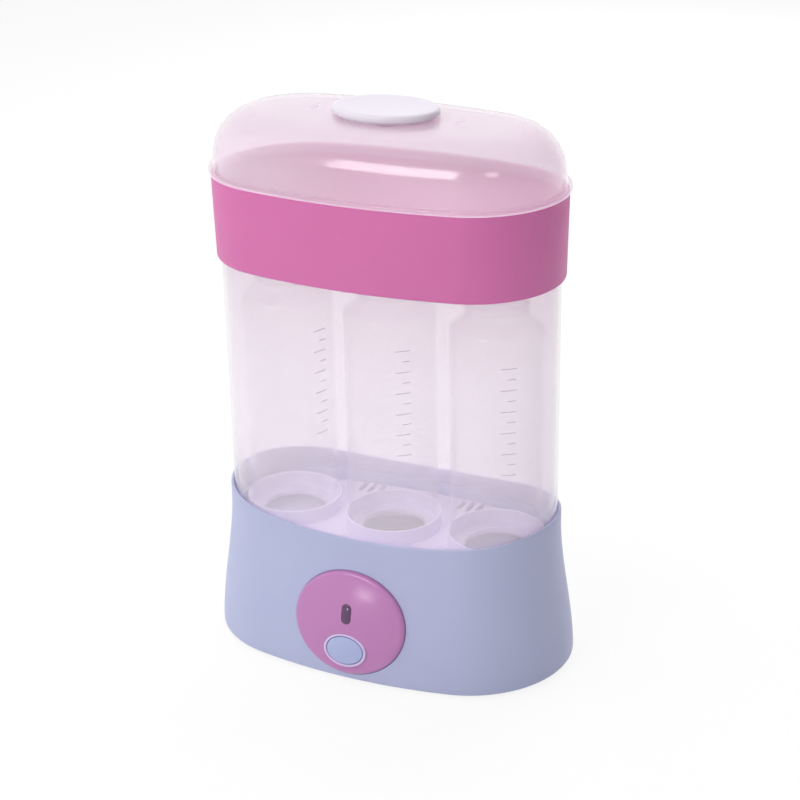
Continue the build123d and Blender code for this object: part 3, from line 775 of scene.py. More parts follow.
@dataclass
class Repeater:
    """Geometry Nodes tree that sets copies of a unit in rows.

    Its inputs are the first place, the steps and counts along and across the rows, and the material.
    """

    tree: NodeTree | None = None

    def build(self) -> NodeTree:
        """Makes the tree once.

        Returns:
            The tree.
        """
        if self.tree is not None:
            return self.tree
        tree = bpy.data.node_groups.new("copies_in_rows", "GeometryNodeTree")
        tree.is_modifier = True
        sockets = {"Unit": "Geometry", "First Place": "Vector", "Material": "Material"}
        for way in ("Along", "Across"):
            sockets |= {f"Step {way}": "Vector", f"Count {way}": "Int"}
        for name, kind in sockets.items():
            tree.interface.new_socket(name=name, in_out="INPUT", socket_type=f"NodeSocket{kind}")
        tree.interface.new_socket(name="Copies", in_out="OUTPUT", socket_type="NodeSocketGeometry")
        start = add_node(tree, "NodeGroupInput").outputs
        copies = start["Unit"]
        for way in ("Along", "Across"):
            steps = {"mode": "OFFSET", "Count": start[f"Count {way}"], "Offset": start[f"Step {way}"]}
            if way == "Along":
                steps["Start Location"] = start["First Place"]
            line = add_node(tree, "GeometryNodeMeshLine", steps)
            placed = {"Points": line.outputs[0], "Instance": copies}
            row = add_node(tree, "GeometryNodeInstanceOnPoints", placed)
            copies = add_node(tree, "GeometryNodeRealizeInstances", {0: row.outputs[0]}).outputs[0]
        values = {"Geometry": copies, "Material": start["Material"]}
        dressed = add_node(tree, "GeometryNodeSetMaterial", values)
        add_node(tree, "NodeGroupOutput", {0: dressed.outputs[0]})
        self.tree = tree
        return tree

    def repeat(self, unit: Object, grid: Grid, middle: Point, material: Material | None = None) -> Object:
        """Turns a unit into rows of copies of itself.

        Args:
            unit: The unit, drawn round the origin.
            grid: Steps and numbers of the copies.
            middle: Middle of the rows, in millimetres.
            material: The copies' material, which a cutter has none of.

        Returns:
            The unit's object, with the copies as its mesh.
        """
        tool = unit.modifiers.new("copies", "NODES")
        tool.node_group = self.build()
        places = {"First Place": grid.first(middle), "Step Along": grid.step, "Step Across": grid.across}
        values = {name: [v * MM for v in place] for name, place in places.items()}
        values |= {"Count Along": grid.count, "Count Across": grid.rows, "Material": material}
        for item in tool.node_group.interface.items_tree:
            if item.item_type == "SOCKET" and item.name in values:
                tool[item.identifier] = values[item.name]
        return baked(unit)


@dataclass
class Workshop:
    """What every sub-assembly needs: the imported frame, the materials made so far and the repeater."""

    frame: dict[str, object]
    made: dict[str, Material] = field(default_factory=dict)
    repeater: Repeater = field(default_factory=Repeater)

    def material(self, slot: str) -> Material:
        """Makes the material of one of the record's slots, once.

        Args:
            slot: The slot's name.

        Returns:
            Its material.
        """
        if slot not in self.made:
            self.made[slot] = FINISHES[slot].material()
        return self.made[slot]

    def node(self, name: str) -> Object:
        """Returns the solid of that name."""
        return self.frame["nodes"][name]

    def fit(
        self, piece: Object, body: str, slot: str, *nodes: str, material: Material | None = None
    ) -> None:
        """Gives a piece its finish, body and slot.

        Args:
            piece: The piece.
            body: The body that it rides on.
            slot: The record's material slot.
            nodes: Solids that it stands for.
            material: Its material, if not the slot's.
        """
        piece.data.materials.clear()
        piece.data.materials.append(material or self.material(slot))
        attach(piece, body)
        if nodes:
            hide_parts(*nodes)
        log.info("%s: %d faces on %s", piece.name, len(piece.data.polygons), body)

    def paint(self, name: str, slot: str) -> None:
        """Gives a solid that stays its material.

        Args:
            name: The solid's name.
            slot: The record's material slot.
        """
        materials = self.node(name).data.materials
        if len(materials) == 0:
            materials.append(None)
        for i in range(len(materials)):
            materials[i] = self.material(slot)
        log.info("%s keeps its solid", name)

    def weld(self, name: str, body: str, slot: str) -> None:
        """Replaces a solid by its smooth copy, with its loose triangles welded."""
        self.fit(merged(f"{name}_skin", self.node(name), weld=WELD), body, slot, name)

    def slots(self, size: Spot, grid: Grid, middle: Point) -> Object:
        """Returns a cutter of long round slots that go right through."""
        return self.repeater.repeat(block("slots", size, size[0] / 2, THROUGH), grid, middle)


@dataclass
class Base:
    """Heated base: flared housing, cover, feet and inlet."""

    shop: Workshop
    foot: Oval = Oval(112.2, 67.7)
    rim: Oval = Oval(104.0, 55.1)
    foot_lift: float = 2.0
    flare_top: float = 87.4
    flare_rings: int = 26
    rim_rise: float = 8.6
    lift_from: float = 50.0
    wall: float = 2.6
    wall_rings: int = 8
    rim_wall: float = 1.8
    rim_round: float = 0.7
    edge_round: float = 1.6
    ledge_z: float = 79.0
    ledge_width: float = 4.0
    deck_z: float = 65.0
    deck_low: float = 62.0
    hole_radius: float = 40.0
    flange_radius: float = 45.1
    recess: float = 1.5
    panel_z: float = 37.0
    inlet_z: float = 22.0
    inlet_reach: float = 10.2
    inlet_size: Spot = (28.0, 20.6)
    inlet_corner: float = 3.0
    inlet_flange: float = 5.2
    inlet_sink: float = 1.0
    cover_low: float = 2.6
    cover_top: float = 5.1
    cover_gap: float = 0.4
    vent_size: Spot = (2.6, 26.0)
    vents: Grid = Grid((8.0, 0.0, 0.0), 7, (0.0, 44.0, 0.0), 2)
    screws: Grid = Grid((172.0, 0.0, 0.0), 2, (0.0, 40.0, 0.0), 2)
    feet: Grid = Grid((140.0, 0.0, 0.0), 2, (0.0, 86.0, 0.0), 2)
    bore_radius: float = 1.5
    head_radius: float = 3.1
    head_sink: float = 1.6
    seat_radius: float = 7.1
    seat_sink: float = 0.8

    def half(self, z: float) -> Oval:
        """Returns the outside's oval at a height."""
        t = min(max(z / self.flare_top, 0.0), 1.0)
        return self.rim.toward(self.foot, 1 - t * t * (3 - 2 * t))

    def rise(self, x: float) -> float:
        """Returns how far the rim has risen above its middle at a place along the width."""
        radius = (self.rim.half_x**2 + self.rim_rise**2) / (2 * self.rim_rise)
        return radius - math.sqrt(radius**2 - x**2)

    def wall_frame(self, z: float, reach: float, face: Face) -> Matrix:
        """Finds the frame of the chord plane through the outside, facing out.

        Args:
            z: Height of its middle.
            reach: How far above and below the chord meets the outside.
            face: The side of the housing.

        Returns:
            The frame, in millimetres.
        """
        side = face.value
        low, high = self.half(z - reach).half_y, self.half(z + reach).half_y
        slope = math.atan((low - high) / (2 * reach))
        out = Vector((0, side * math.cos(slope), math.sin(slope)))
        across = Vector((-side, 0, 0))
        frame = Matrix((across, out.cross(across), out)).transposed().to_4x4()
        frame.translation = (0, side * (low + high) / 2, z)
        return frame

    def lifted(self, z: float, share: float, offset: float, follows_flare: bool = True) -> Ring:
        """Lays a ring that rises with the rim.

        Args:
            z: Its height at the middle of the front.
            share: How much of the rim's rise it takes.
            offset: How far out it is from the outside, or from the rim.
            follows_flare: True for the outside, False for the rim's straight inside.

        Returns:
            Its points.
        """
        ring = []
        for turn in TURNS:
            height = z + share * self.rise(self.rim.at(turn)[0])
            plan = self.half(height) if follows_flare else self.rim
            ring.append((*plan.grown(offset).at(turn), height))
        return ring

    def rings(self) -> list[Ring]:
        """Lays the housing's rings: up the outside, over the rim, down into the well and back out.

        Returns:
            The rings.
        """
        edge, lip, inner = self.edge_round, self.rim_round, -self.rim_wall
        low, high = self.foot_lift + edge, self.flare_top - lip
        rings = []
        for sin, cos in quarter(4):
            rings.append(self.lifted(self.foot_lift + edge * (1 - cos), 0, -edge * (1 - sin)))
        for k in range(1, self.flare_rings + 1):
            z = low + (high - low) * k / self.flare_rings
            share = max(0.0, (z - self.lift_from) / (self.flare_top - self.lift_from))
            rings.append(self.lifted(z, share, 0))
        for sin, cos in quarter(4, 1):
            rings.append(self.lifted(high + lip * sin, 1, -lip * (1 - cos)))
        for sin, cos in quarter(4):
            rings.append(self.lifted(high + lip * cos, 1, inner + lip * (1 - sin), False))
        for share in (0.6, 0.3, 0.0):
            rings.append(self.lifted(self.ledge_z + (high - self.ledge_z) * share, share, inner, False))
        return rings + self.well(inner - self.ledge_width)

    def well(self, inset: float) -> list[Ring]:
        """Lays the rings over the ledge, down the well, through the deck's hole and down the inside.

        Args:
            inset: Offset of the well's wall from the rim.

        Returns:
            The rings.
        """
        ledge, deck, seat = self.ledge_z, self.deck_z, self.deck_z - self.recess
        flange, hole = self.flange_radius, self.hole_radius
        profile = [(inset + 0.8, ledge), (inset + 0.25, ledge - 0.25), (inset, ledge - 0.8)]
        profile += [(inset, ledge - 7), (inset, deck + 2)]
        profile += [(inset - 0.3, deck + 1), (inset - 1, deck + 0.3), (inset - 2, deck)]
        rings = self.rim.rings(profile)
        plan = self.rim.ring(deck)
        rings += between(rings[-1], facing(plan, flange + 0.5, deck), (0.3, 0.6, 0.85, 1.0))
        profile = [(flange, deck - 0.5), (flange, seat), (hole + 0.4, seat), (hole, seat - 0.4)]
        profile += [(hole, self.deck_low)]
        rings += [facing(plan, radius, z) for radius, z in profile]
        under = self.half(self.deck_low).grown(-self.wall).ring(self.deck_low)
        rings += between(rings[-1], under, (0.35, 0.7, 1.0))
        for k in range(1, self.wall_rings + 1):
            z = self.deck_low + (self.foot_lift - self.deck_low) * k / self.wall_rings
            rings.append(self.half(z).grown(-self.wall).ring(z))
        return rings

    def housing(self, panel: "Panel") -> None:
        """Makes the housing with its panel seat and its hole for the inlet.

        Args:
            panel: The panel that the seat is for.
        """
        deep, out = THROUGH
        steps = [(-panel.ledge, deep), (-panel.ledge, -panel.seat)]
        steps += [(panel.gap, -panel.seat), (panel.gap, out)]
        seat = skin("seat", levels(panel.half_u, panel.half_v, steps), Ends.CAPPED, panel.frame)
        width, height = self.inlet_size
        steps = [(0.0, deep), (0.0, -self.inlet_sink)]
        steps += [(self.inlet_flange, -self.inlet_sink), (self.inlet_flange, out)]
        hole = [rounded_box((width + grown, height + grown), self.inlet_corner, w) for grown, w in steps]
        back = self.wall_frame(self.inlet_z, self.inlet_reach, Face.BACK)
        body = skin("base_housing", self.rings(), Ends.LOOPED)
        cut(body, seat, skin("hole", hole, Ends.CAPPED, back))
        self.shop.fit(body, "base", "base_plastic", "base_shell")

    def underside(self) -> None:
        """Makes the vented cover, its screws and the feet."""
        low, top = self.cover_low, self.cover_top
        repeat, middle = self.shop.repeater.repeat, (0.0, 0.0, low)
        plan = self.foot.grown(-self.wall - self.cover_gap)
        profile = [(-0.5, low), (0, low + 0.5), (0, top - 0.4), (-0.4, top)]
        cover = skin("vented_cover", plan.rings(profile), Ends.CAPPED)
        below = THROUGH[0]
        vents = self.shop.slots(self.vent_size, self.vents, middle)
        bores = turned("bores", [(self.bore_radius, z) for z in THROUGH], 24)
        sinks = turned("sinks", [(self.head_radius, z) for z in (below, self.head_sink)], 32)
        seats = turned("seats", [(self.seat_radius, z) for z in (below, self.seat_sink)], 48)
        grids = ((bores, self.screws), (sinks, self.screws), (seats, self.feet))
        cut(cover, vents, *[repeat(unit, grid, middle) for unit, grid in grids])
        self.shop.fit(cover, "base", "base_plastic", "bottom_cover")

        profile = [(5.4, 0.0), (6.2, 0.12), (6.8, 0.5), (7.0, 1.0), (7.0, 3.4)]
        foot = turned("rubber_foot", profile, 48)
        repeat(foot, self.feet, ORIGIN, self.shop.material("foot_rubber"))
        self.shop.fit(foot, "base", "foot_rubber", "rubber_feet")

        profile = [(2.5, 0.0), (2.85, 0.15), (3.0, 0.5), (3.0, 1.6), (1.4, 1.6), (1.4, 11.5), (1.0, 12.0)]
        screw = turned("cover_screw", profile, 32)
        drive = block("drive", (7.0, 0.75), 0.05, (-1.0, 0.65), 2)
        cut(screw, drive, block("cross", (0.75, 3.6), 0.05, (-1.0, 0.64), 2))
        repeat(screw, self.screws, middle, self.shop.material("zinc_steel"))
        self.shop.fit(screw, "base", "zinc_steel", "cover_screws")

    def works(self) -> None:
        """Finishes the heater, the inlet and the electronics."""
        for name, slot in {
            "heating_plate": "plate_steel",
            "power_inlet": "inlet_plastic",
            "inlet_blades": "blade_brass",
            "heating_element": "element_sheath",
            "thermostat": "bakelite_black",
        }.items():
            self.shop.weld(name, "base", slot)
        for slot, names in {
            "seal_silicone": ("plate_seal",),
            "zinc_steel": ("plate_strap", "strap_nut", "strap_screws", "thermal_fuse", "board_screws"),
            "bakelite_black": ("tact_switch",),
            "led_red": ("indicator_led",),
            "board_green": ("control_board",),
        }.items():
            for name in names:
                self.shop.paint(name, slot)


@dataclass
class Panel:
    """Domed oval panel on the sloping front, with its window, collar and push button."""

    shop: Workshop
    frame: Matrix
    half_u: float = 35.5
    half_v: float = 31.5
    gap: float = 0.25
    seat: float = 3.0
    ledge: float = 4.5
    crown: float = 5.6
    edge: float = 2.2
    edge_round: float = 2.2
    button_v: float = -16.0
    button_half: Spot = (11.8, 8.2)
    button_gap: float = 0.3
    button_proud: float = 1.6
    button_skirt: float = 3.4
    button_crown: float = 60.0
    button_round: float = 0.8
    stem_radius: float = 2.3
    stem_low: float = -4.5
    collar_width: float = 1.7
    collar_proud: float = 0.5
    collar_depth: float = 1.2
    fit_gap: float = 0.1
    lens_v: float = 6.5
    lens_size: Spot = (6.0, 12.0)
    lens_depth: float = 2.2
    lens_proud: float = 0.2

    def height(self, u: float, v: float) -> float:
        """Finds the height of the domed face over the panel's plane.

        Args:
            u: Distance to the right of the panel's middle.
            v: Distance up from it.

        Returns:
            The height.
        """
        rise = self.crown - self.edge
        radius = (self.half_v**2 + rise**2) / (2 * rise)
        return self.crown - radius + math.sqrt(radius**2 - u**2 - v**2)

    def moved(self, v: float) -> Matrix:
        """Returns the panel's frame, moved up its face."""
        return self.frame @ Matrix.Translation((0, v, 0))

    def long_rounds(self, profile: list[Spot]) -> list[Ring]:
        """Returns the window's outlines that follow a profile of offsets and heights."""
        width, length = self.lens_size
        return [rounded_box((width + 2 * o, length + 2 * o), width / 2 + o, w, 12) for o, w in profile]

    def face(self) -> None:
        """Makes the domed face with its recesses."""
        half = (self.half_u, self.half_v)
        rings = levels(*half, [(0, -self.seat), (0, -self.seat / 2)])
        rings += crowned(half, self.edge_round, self.height, 6, 18)
        face = skin("domed_panel", rings, Ends.CAPPED, self.frame)
        place, top = self.moved(self.button_v), THROUGH[1]
        bore = levels(*self.button_half, [(self.button_gap, w) for w in THROUGH])
        rim = self.button_gap + self.collar_width
        low = self.height(0, self.button_v) - self.collar_depth
        collar = levels(*self.button_half, [(rim, low), (rim, top)])
        low = self.height(0, self.lens_v) - self.lens_depth
        lens = self.long_rounds([(self.fit_gap, low), (self.fit_gap, top)])
        cut(
            face,
            skin("bore", bore, Ends.CAPPED, place),
            skin("collar_seat", collar, Ends.CAPPED, place),
            skin("lens_seat", lens, Ends.CAPPED, self.moved(self.lens_v)),
        )
        self.shop.fit(face, "base", "panel_plastic", "control_panel")

    def window(self) -> None:
        """Makes the dark window over the lamp."""
        top = self.height(0, self.lens_v) + self.lens_proud
        low = top - self.lens_proud - self.lens_depth
        rings = self.long_rounds([(0, low), (0, top - 0.5), (-0.15, top - 0.18), (-0.5, top)])
        lens = skin("lamp_window", rings, Ends.CAPPED, self.moved(self.lens_v))
        self.shop.fit(lens, "base", "lens_smoke", "indicator_lens")

    def collar(self) -> None:
        """Makes the pale trim ring."""
        gap, width = self.button_gap, self.collar_width - self.fit_gap
        half_u, half_v = (half + gap + self.collar_width - self.fit_gap for half in self.button_half)
        top = self.height(0, self.button_v) + self.collar_proud
        low = self.height(0, self.button_v) - self.collar_depth
        profile = soften([(0, low, 0), (0, top, 0.6), (-width, top, 0.35), (-width, low, 0)])
        ring = skin("button_trim", levels(half_u, half_v, profile), Ends.LOOPED, self.moved(self.button_v))
        self.shop.fit(ring, "base", "collar_plastic", "button_collar")

    def button(self) -> None:
        """Makes the push button with its crowned face and stem."""
        top = self.height(0, self.button_v) + self.button_proud
        low = self.height(0, self.button_v) - self.button_skirt

        def crown(u: float, v: float) -> float:
            """Returns the height of the button's face."""
            return top - self.button_crown + math.sqrt(self.button_crown**2 - u**2 - v**2)

        rings = levels(self.stem_radius, self.stem_radius, [(0, self.stem_low), (0, low)])
        rings += levels(*self.button_half, [(0, low), (0, low + 1.5)])
        rings += crowned(self.button_half, self.button_round, crown, 4, 5)
        button = skin("push_button", rings, Ends.CAPPED, self.moved(self.button_v))
        self.shop.fit(button, "button", "button_plastic", "start_button")


@dataclass
class Sleeve:
    """Clear wall that stands on the base's ledge."""

    shop: Workshop
    low_z: float = 79.0
    top_z: float = 246.5
    low: Oval = Oval(101.75, 52.85)
    top: Oval = Oval(102.3, 54.2)
    wall: float = 2.2
    span_steps: int = 6

    def build(self) -> None:
        """Makes the sleeve, with rings between the ends of its two long faces."""
        corners = [(0, self.low_z, 0.7), (0, self.top_z, 0.9)]
        corners += [(-self.wall, self.top_z, 0.9), (-self.wall, self.low_z, 0.7)]
        profile = soften(corners)
        rings = []
        for i, (offset, z) in enumerate(profile):
            rings.append(self.ring(offset, z))
            rise = profile[(i + 1) % len(profile)][1] - z
            if abs(rise) > (self.top_z - self.low_z) / 2:
                steps = range(1, self.span_steps)
                rings += [self.ring(offset, z + rise * k / self.span_steps) for k in steps]
        self.shop.fit(skin("clear_wall", rings, Ends.LOOPED), "sleeve", "clear_plastic", "clear_sleeve")

    def ring(self, offset: float, z: float) -> Ring:
        """Returns a ring of the wall."""
        share = (z - self.low_z) / (self.top_z - self.low_z)
        return self.low.toward(self.top, share).grown(offset).ring(z)


@dataclass
class Tray:
    """Band-shaped tray on the sleeve, with a slotted floor."""

    shop: Workshop
    low_z: float = 240.4
    top_z: float = 290.0
    low: Oval = Oval(104.9, 56.8)
    flare: float = 1.2
    wall: float = 2.0
    floor_low: float = 246.5
    floor_top: float = 249.0
    floor_inset: float = 30.0
    floor_middle: Oval = Oval(12.0, 8.0)
    rib_inset: float = 5.3
    rib_wall: float = 1.8
    rib_depth: float = 5.0
    slot_size: Spot = (4.0, 30.0)
    slots: Grid = Grid((11.0, 0.0, 0.0), 15, (0.0, 40.0, 0.0), 2)

    def build(self) -> None:
        """Makes the tray and cuts the slots in its floor."""
        low, floor, wall = self.low_z, self.floor_low, self.wall
        rib, rib_low = -self.rib_inset, floor - self.rib_depth
        rib_in = rib - self.rib_wall
        grown = self.flare * (self.floor_top - low) / (self.top_z - low)
        outside = [
            (-wall, low, 0.6),
            (0, low, 0.9),
            (self.flare, self.top_z, 0.8),
            (self.flare - wall, self.top_z, 0.7),
            (-wall + grown, self.floor_top, 2.0),
            (-self.floor_inset, self.floor_top, 0.0),
        ]
        under = [
            (-self.floor_inset, floor, 0.0),
            (rib_in, floor, 0.3),
            (rib_in, rib_low, 0.5),
            (rib, rib_low, 0.5),
            (rib, floor, 0.3),
            (-wall, floor, 0.3),
            (-wall, low + 1.0, 0.0),
        ]
        plan = self.low.grown(-self.floor_inset)
        middle = [plan.toward(self.floor_middle, share) for share in (1.0, 0.5)]
        rings = [plan.ring(floor) for plan in middle]
        rings += self.low.rings(soften(under) + soften(outside))
        rings += [plan.ring(self.floor_top) for plan in reversed(middle)]
        tray = skin("band_tray", rings, Ends.CAPPED)
        cut(tray, self.shop.slots(self.slot_size, self.slots, (0.0, 0.0, floor)))
        self.shop.fit(tray, "tray", "tray_plastic", "accessory_tray")


@dataclass
class Lid:
    """Clear domed lid with its flange, rib, vents and grip."""

    shop: Workshop
    low_z: float = 290.0
    top_z: float = 326.0
    tray: Oval = Oval(106.1, 58.0)
    overhang: float = 1.4
    flange: float = 3.0
    inset: float = 0.8
    taper: float = math.tan(math.radians(6.0))
    wall: float = 2.2
    shoulder: float = 26.0
    crown_inset: float = 44.0
    rib_inset: float = 2.5
    rib_wall: float = 1.8
    rib_depth: float = 5.0
    rib_top: float = 6.0
    vent_size: Spot = (3.0, 12.0)
    vents: Grid = Grid((90.0, 0.0, 0.0), 2)
    hole_radius: float = 5.2
    stem_radius: float = 5.0
    stem_depth: float = 5.7
    grip_half: Spot = (31.5, 24.0)
    grip_rise: float = 5.5
    grip_round: float = 2.0
    lip_rise: float = 1.6
    lip_round: float = 0.5
    dish_half: float = 20.0
    dish_ratio: float = 1.28
    dish_depth: float = 1.0

    def dome(self) -> None:
        """Makes the dome: up the outside, over the shoulder to the stem's hole and back inside."""
        low, top, inner_top = self.low_z, self.top_z, self.top_z - self.wall
        side, deep = -self.inset, -self.crown_inset
        rib, rib_low = -self.rib_inset, low - self.rib_depth
        rib_in = rib - self.rib_wall
        corners = [
            (self.overhang, low, 1.0),
            (self.overhang, low + self.flange, 1.0),
            (side - self.taper * self.flange, low + self.flange, 0.5),
            (side - self.taper * (top - low), top, self.shoulder),
            (deep, top, 0),
            (deep, inner_top, 0),
            (side - self.wall - self.taper * (inner_top - low), inner_top, self.shoulder - self.wall),
            (rib_in, low + self.rib_top, 0.5),
            (rib_in, rib_low, 0.5),
            (rib, rib_low, 0.5),
            (rib, low, 0.3),
        ]
        rings = []
        for offset, z in soften(corners):
            ring = self.tray.grown(offset).ring(z)
            if offset == deep:
                span = between(ring, facing(ring, self.hole_radius, z), (0, 0.5, 1))
                rings += span if z == top else reversed(span)
            else:
                rings.append(ring)
        dome = skin("clear_dome", rings, Ends.LOOPED)
        cut(dome, self.shop.slots(self.vent_size, self.vents, (0.0, 0.0, top)))
        self.shop.fit(dome, "lid", "lid_plastic", "lid")

    def grip(self) -> None:
        """Makes the oval grip with its finger undercut, dished top and stem."""
        low, lip, top = self.top_z, self.top_z + self.lip_rise, self.top_z + self.grip_rise
        (half_x, half_y), edge, curl = self.grip_half, self.grip_round, self.lip_round
        rings = [circle(self.stem_radius, z) for z in (low - self.stem_depth, low)]
        rings += levels(half_x, half_y, [(-3, low), (-3, low + 0.8), (-2.6, lip - 0.2), (-2.2, lip)])
        profile = [(curl * sin, lip + curl - curl * cos) for sin, cos in quarter(2)]
        rings += levels(half_x - curl, half_y - curl, profile)
        profile = [(-edge * (1 - cos), top - edge + edge * sin) for sin, cos in quarter(6)]
        rings += levels(half_x, half_y, profile)
        for share in (1.0, 0.96, 0.88, 0.75, 0.6, 0.4, 0.2):
            half = self.dish_half * share
            rings += levels(half * self.dish_ratio, half, [(0, top - self.dish_depth * (1 - share**2))])
        self.shop.fit(skin("oval_grip", rings, Ends.CAPPED), "lid", "grip_plastic", "lid_grip")
        self.shop.weld("grip_retainer", "lid", "grip_plastic")


@dataclass
class Rack:
    """Perforated rack with its three standing bottles."""

    shop: Workshop
    plate: Oval = Oval(97.4, 48.5)
    top_z: float = 73.0
    thickness: float = 2.5
    pitch: float = 67.0
    drain_radius: float = 19.0
    slot_size: Spot = (3.0, 14.0)
    slots: Grid = Grid((6.0, 0.0, 0.0), 3, (0.0, 79.0, 0.0), 2)
    hoop_inner: float = 27.6
    hoop_outer: float = 28.9
    hoop_top: float = 82.0
    leg_low: float = 65.0
    leg_radius: float = 3.5
    end_legs: Grid = Grid((184.0, 0.0, 0.0), 2)
    side_legs: Grid = Grid((124.0, 0.0, 0.0), 2, (0.0, 74.0, 0.0), 2)
    bottle_radius: float = 27.0
    bottle_wall: float = 1.6
    bottle_floor: float = 2.4
    heel_round: float = 4.0
    inner_round: float = 2.4
    neck_radius: float = 18.0
    shoulder_z: float = 210.0
    neck_z: float = 220.0
    bottle_top: float = 234.0
    thread_z: float = 226.4
    thread_radius: float = 1.1
    threads: Grid = Grid((0.0, 0.0, -4.0), 3)
    mark_z: float = 162.5
    long_marks: Grid = Grid((0.0, 0.0, 13.0), 6)
    short_marks: Grid = Grid((0.0, 0.0, 13.0), 5)
    mark_skin: Spot = (26.95, 27.12)
    mark_half: float = 0.28
    mark_turns: tuple[float, float, float] = (80.0, 50.0, 46.0)

    def rack(self) -> None:
        """Makes the plate with its drains and slots, the rings and the legs."""
        repeat = self.shop.repeater.repeat
        plastic = self.shop.material("rack_plastic")
        top, low = self.top_z, self.top_z - self.thickness
        profile = [(-0.5, low), (0, low + 0.5), (0, top - 0.6), (-0.2, top - 0.2), (-0.6, top)]
        plate = skin("plate", self.plate.rings(profile), Ends.CAPPED)
        bottles = Grid((self.pitch, 0.0, 0.0), 3)
        drains = turned("drains", [(self.drain_radius, z) for z in THROUGH], 64)
        cuts = [repeat(drains, bottles, (0.0, 0.0, top))]
        for x in (-self.pitch / 2, self.pitch / 2):
            cuts.append(self.shop.slots(self.slot_size, self.slots, (x, 0.0, top)))
        cut(plate, *cuts)
        outer, inner, foot = self.hoop_outer, self.hoop_inner, top - 0.5
        corners = [(outer, foot, 0), (outer, self.hoop_top, 0.6)]
        corners += [(inner, self.hoop_top, 0.6), (inner, foot, 0)]
        hoops = turned("hoops", soften(corners), ends=Ends.LOOPED)
        repeat(hoops, bottles, ORIGIN, plastic)
        radius = self.leg_radius
        profile = [(radius - 0.6, self.leg_low), (radius, self.leg_low + 0.6), (radius, low + 0.5)]
        grids = (self.end_legs, self.side_legs)
        legs = [repeat(turned("legs", profile, 24), grid, ORIGIN, plastic) for grid in grids]
        rack = joined("bottle_stand", plate, hoops, *legs)
        self.shop.fit(rack, "rack", "rack_plastic", "bottle_rack")

    def outline(self) -> list[Spot]:
        """Draws a bottle's profile: up the outside, over the lip and down the inside.

        Returns:
            Radius and height of its points.
        """
        r, inside, low = self.bottle_radius, self.bottle_radius - self.bottle_wall, self.top_z
        heel, bend, floor = self.heel_round, self.inner_round, self.top_z + self.bottle_floor
        straight = (100.0, 130.0, 160.0, 190.0)
        shoulder = []
        for k in range(9):
            t = k / 8
            ease = t * t * (3 - 2 * t)
            z = self.shoulder_z + (self.neck_z - self.shoulder_z) * t
            shoulder.append(((self.neck_radius - r) * ease, z))
        points = [(12.0, low + 1.4), (16.0, low + 0.9), (19.5, low + 0.1), (21.0, low)]
        points += [(r - heel + heel * sin, low + heel - heel * cos) for sin, cos in quarter(6)]
        points += [(r, z) for z in straight]
        points += [(r + shift, z) for shift, z in shoulder]
        neck, bore, top = self.neck_radius, self.neck_radius - self.bottle_wall, self.bottle_top
        points += [(neck, top - 0.6), (neck - 0.4, top), (bore + 0.4, top), (bore, top - 0.6)]
        points += [(inside + shift, z - 0.6) for shift, z in reversed(shoulder)]
        points += [(inside, z) for z in reversed(straight)]
        points += [(inside - bend + bend * cos, floor + bend - bend * sin) for sin, cos in quarter(4)]
        return points + [(18.0, floor + 0.2), (12.0, floor + 1.2)]

    def bead(self) -> Object:
        """Makes one turn of the neck's thread.

        Returns:
            The turn, round the origin.
        """
        profile = []
        for k in range(8):
            angle = -2 * math.pi * k / 8
            x, z = self.thread_radius * math.cos(angle), -self.thread_radius * math.sin(angle)
            profile.append((self.neck_radius - 0.1 + x, z))
        return turned("bead", profile, 72, Ends.LOOPED)

    def mark(self, width: float, turn: float) -> Object:
        """Makes one short line of the plain measuring scale, wrapped on the bottle.

        Args:
            width: Its length round the bottle.
            turn: Where round the bottle it ends, in degrees from the front.

        Returns:
            The line, round the origin.
        """
        (inner, outer), half = self.mark_skin, self.mark_half
        corners = ((inner, -half), (outer, -half), (outer, half), (inner, half))
        rings = []
        for k in range(7):
            angle = math.radians(turn - 90) - width / self.bottle_radius * k / 6
            rings.append([(radius * math.cos(angle), radius * math.sin(angle), z) for radius, z in corners])
        return skin("mark", rings, Ends.CAPPED)

    def bottles(self) -> None:
        """Makes the three bottles with their threads and plain scales."""
        ink, clear = MARK_FINISH.material(), self.shop.material("bottle_plastic")
        repeat = self.shop.repeater.repeat
        for i, side in enumerate(("left", "middle", "right")):
            x = (i - 1) * self.pitch
            rings = [circle(radius, z, 72) for radius, z in self.outline()]
            wall = skin(f"{side}_wall", rings, Ends.CAPPED, Matrix.Translation((x, 0.0, 0.0)))
            beads = repeat(self.bead(), self.threads, (x, 0.0, self.thread_z), clear)
            bottle = joined(f"{side}_bottle", wall, beads)
            self.shop.fit(bottle, "rack", "bottle_plastic", f"bottle_{side}")
            marks = [
                repeat(self.mark(width, self.mark_turns[i]), grid, (x, 0.0, self.mark_z), ink)
                for width, grid in ((9.0, self.long_marks), (5.0, self.short_marks))
            ]
            self.shop.fit(joined(f"{side}_scale", *marks), "rack", "bottle_plastic", material=ink)


def direction(azimuth: float, elevation: float) -> Vector:
    """Returns the direction at degrees to the right of the object's front and over the level."""
    a, e = math.radians(azimuth), math.radians(elevation)
    return Vector((math.sin(a) * math.cos(e), -math.cos(a) * math.cos(e), math.sin(e)))


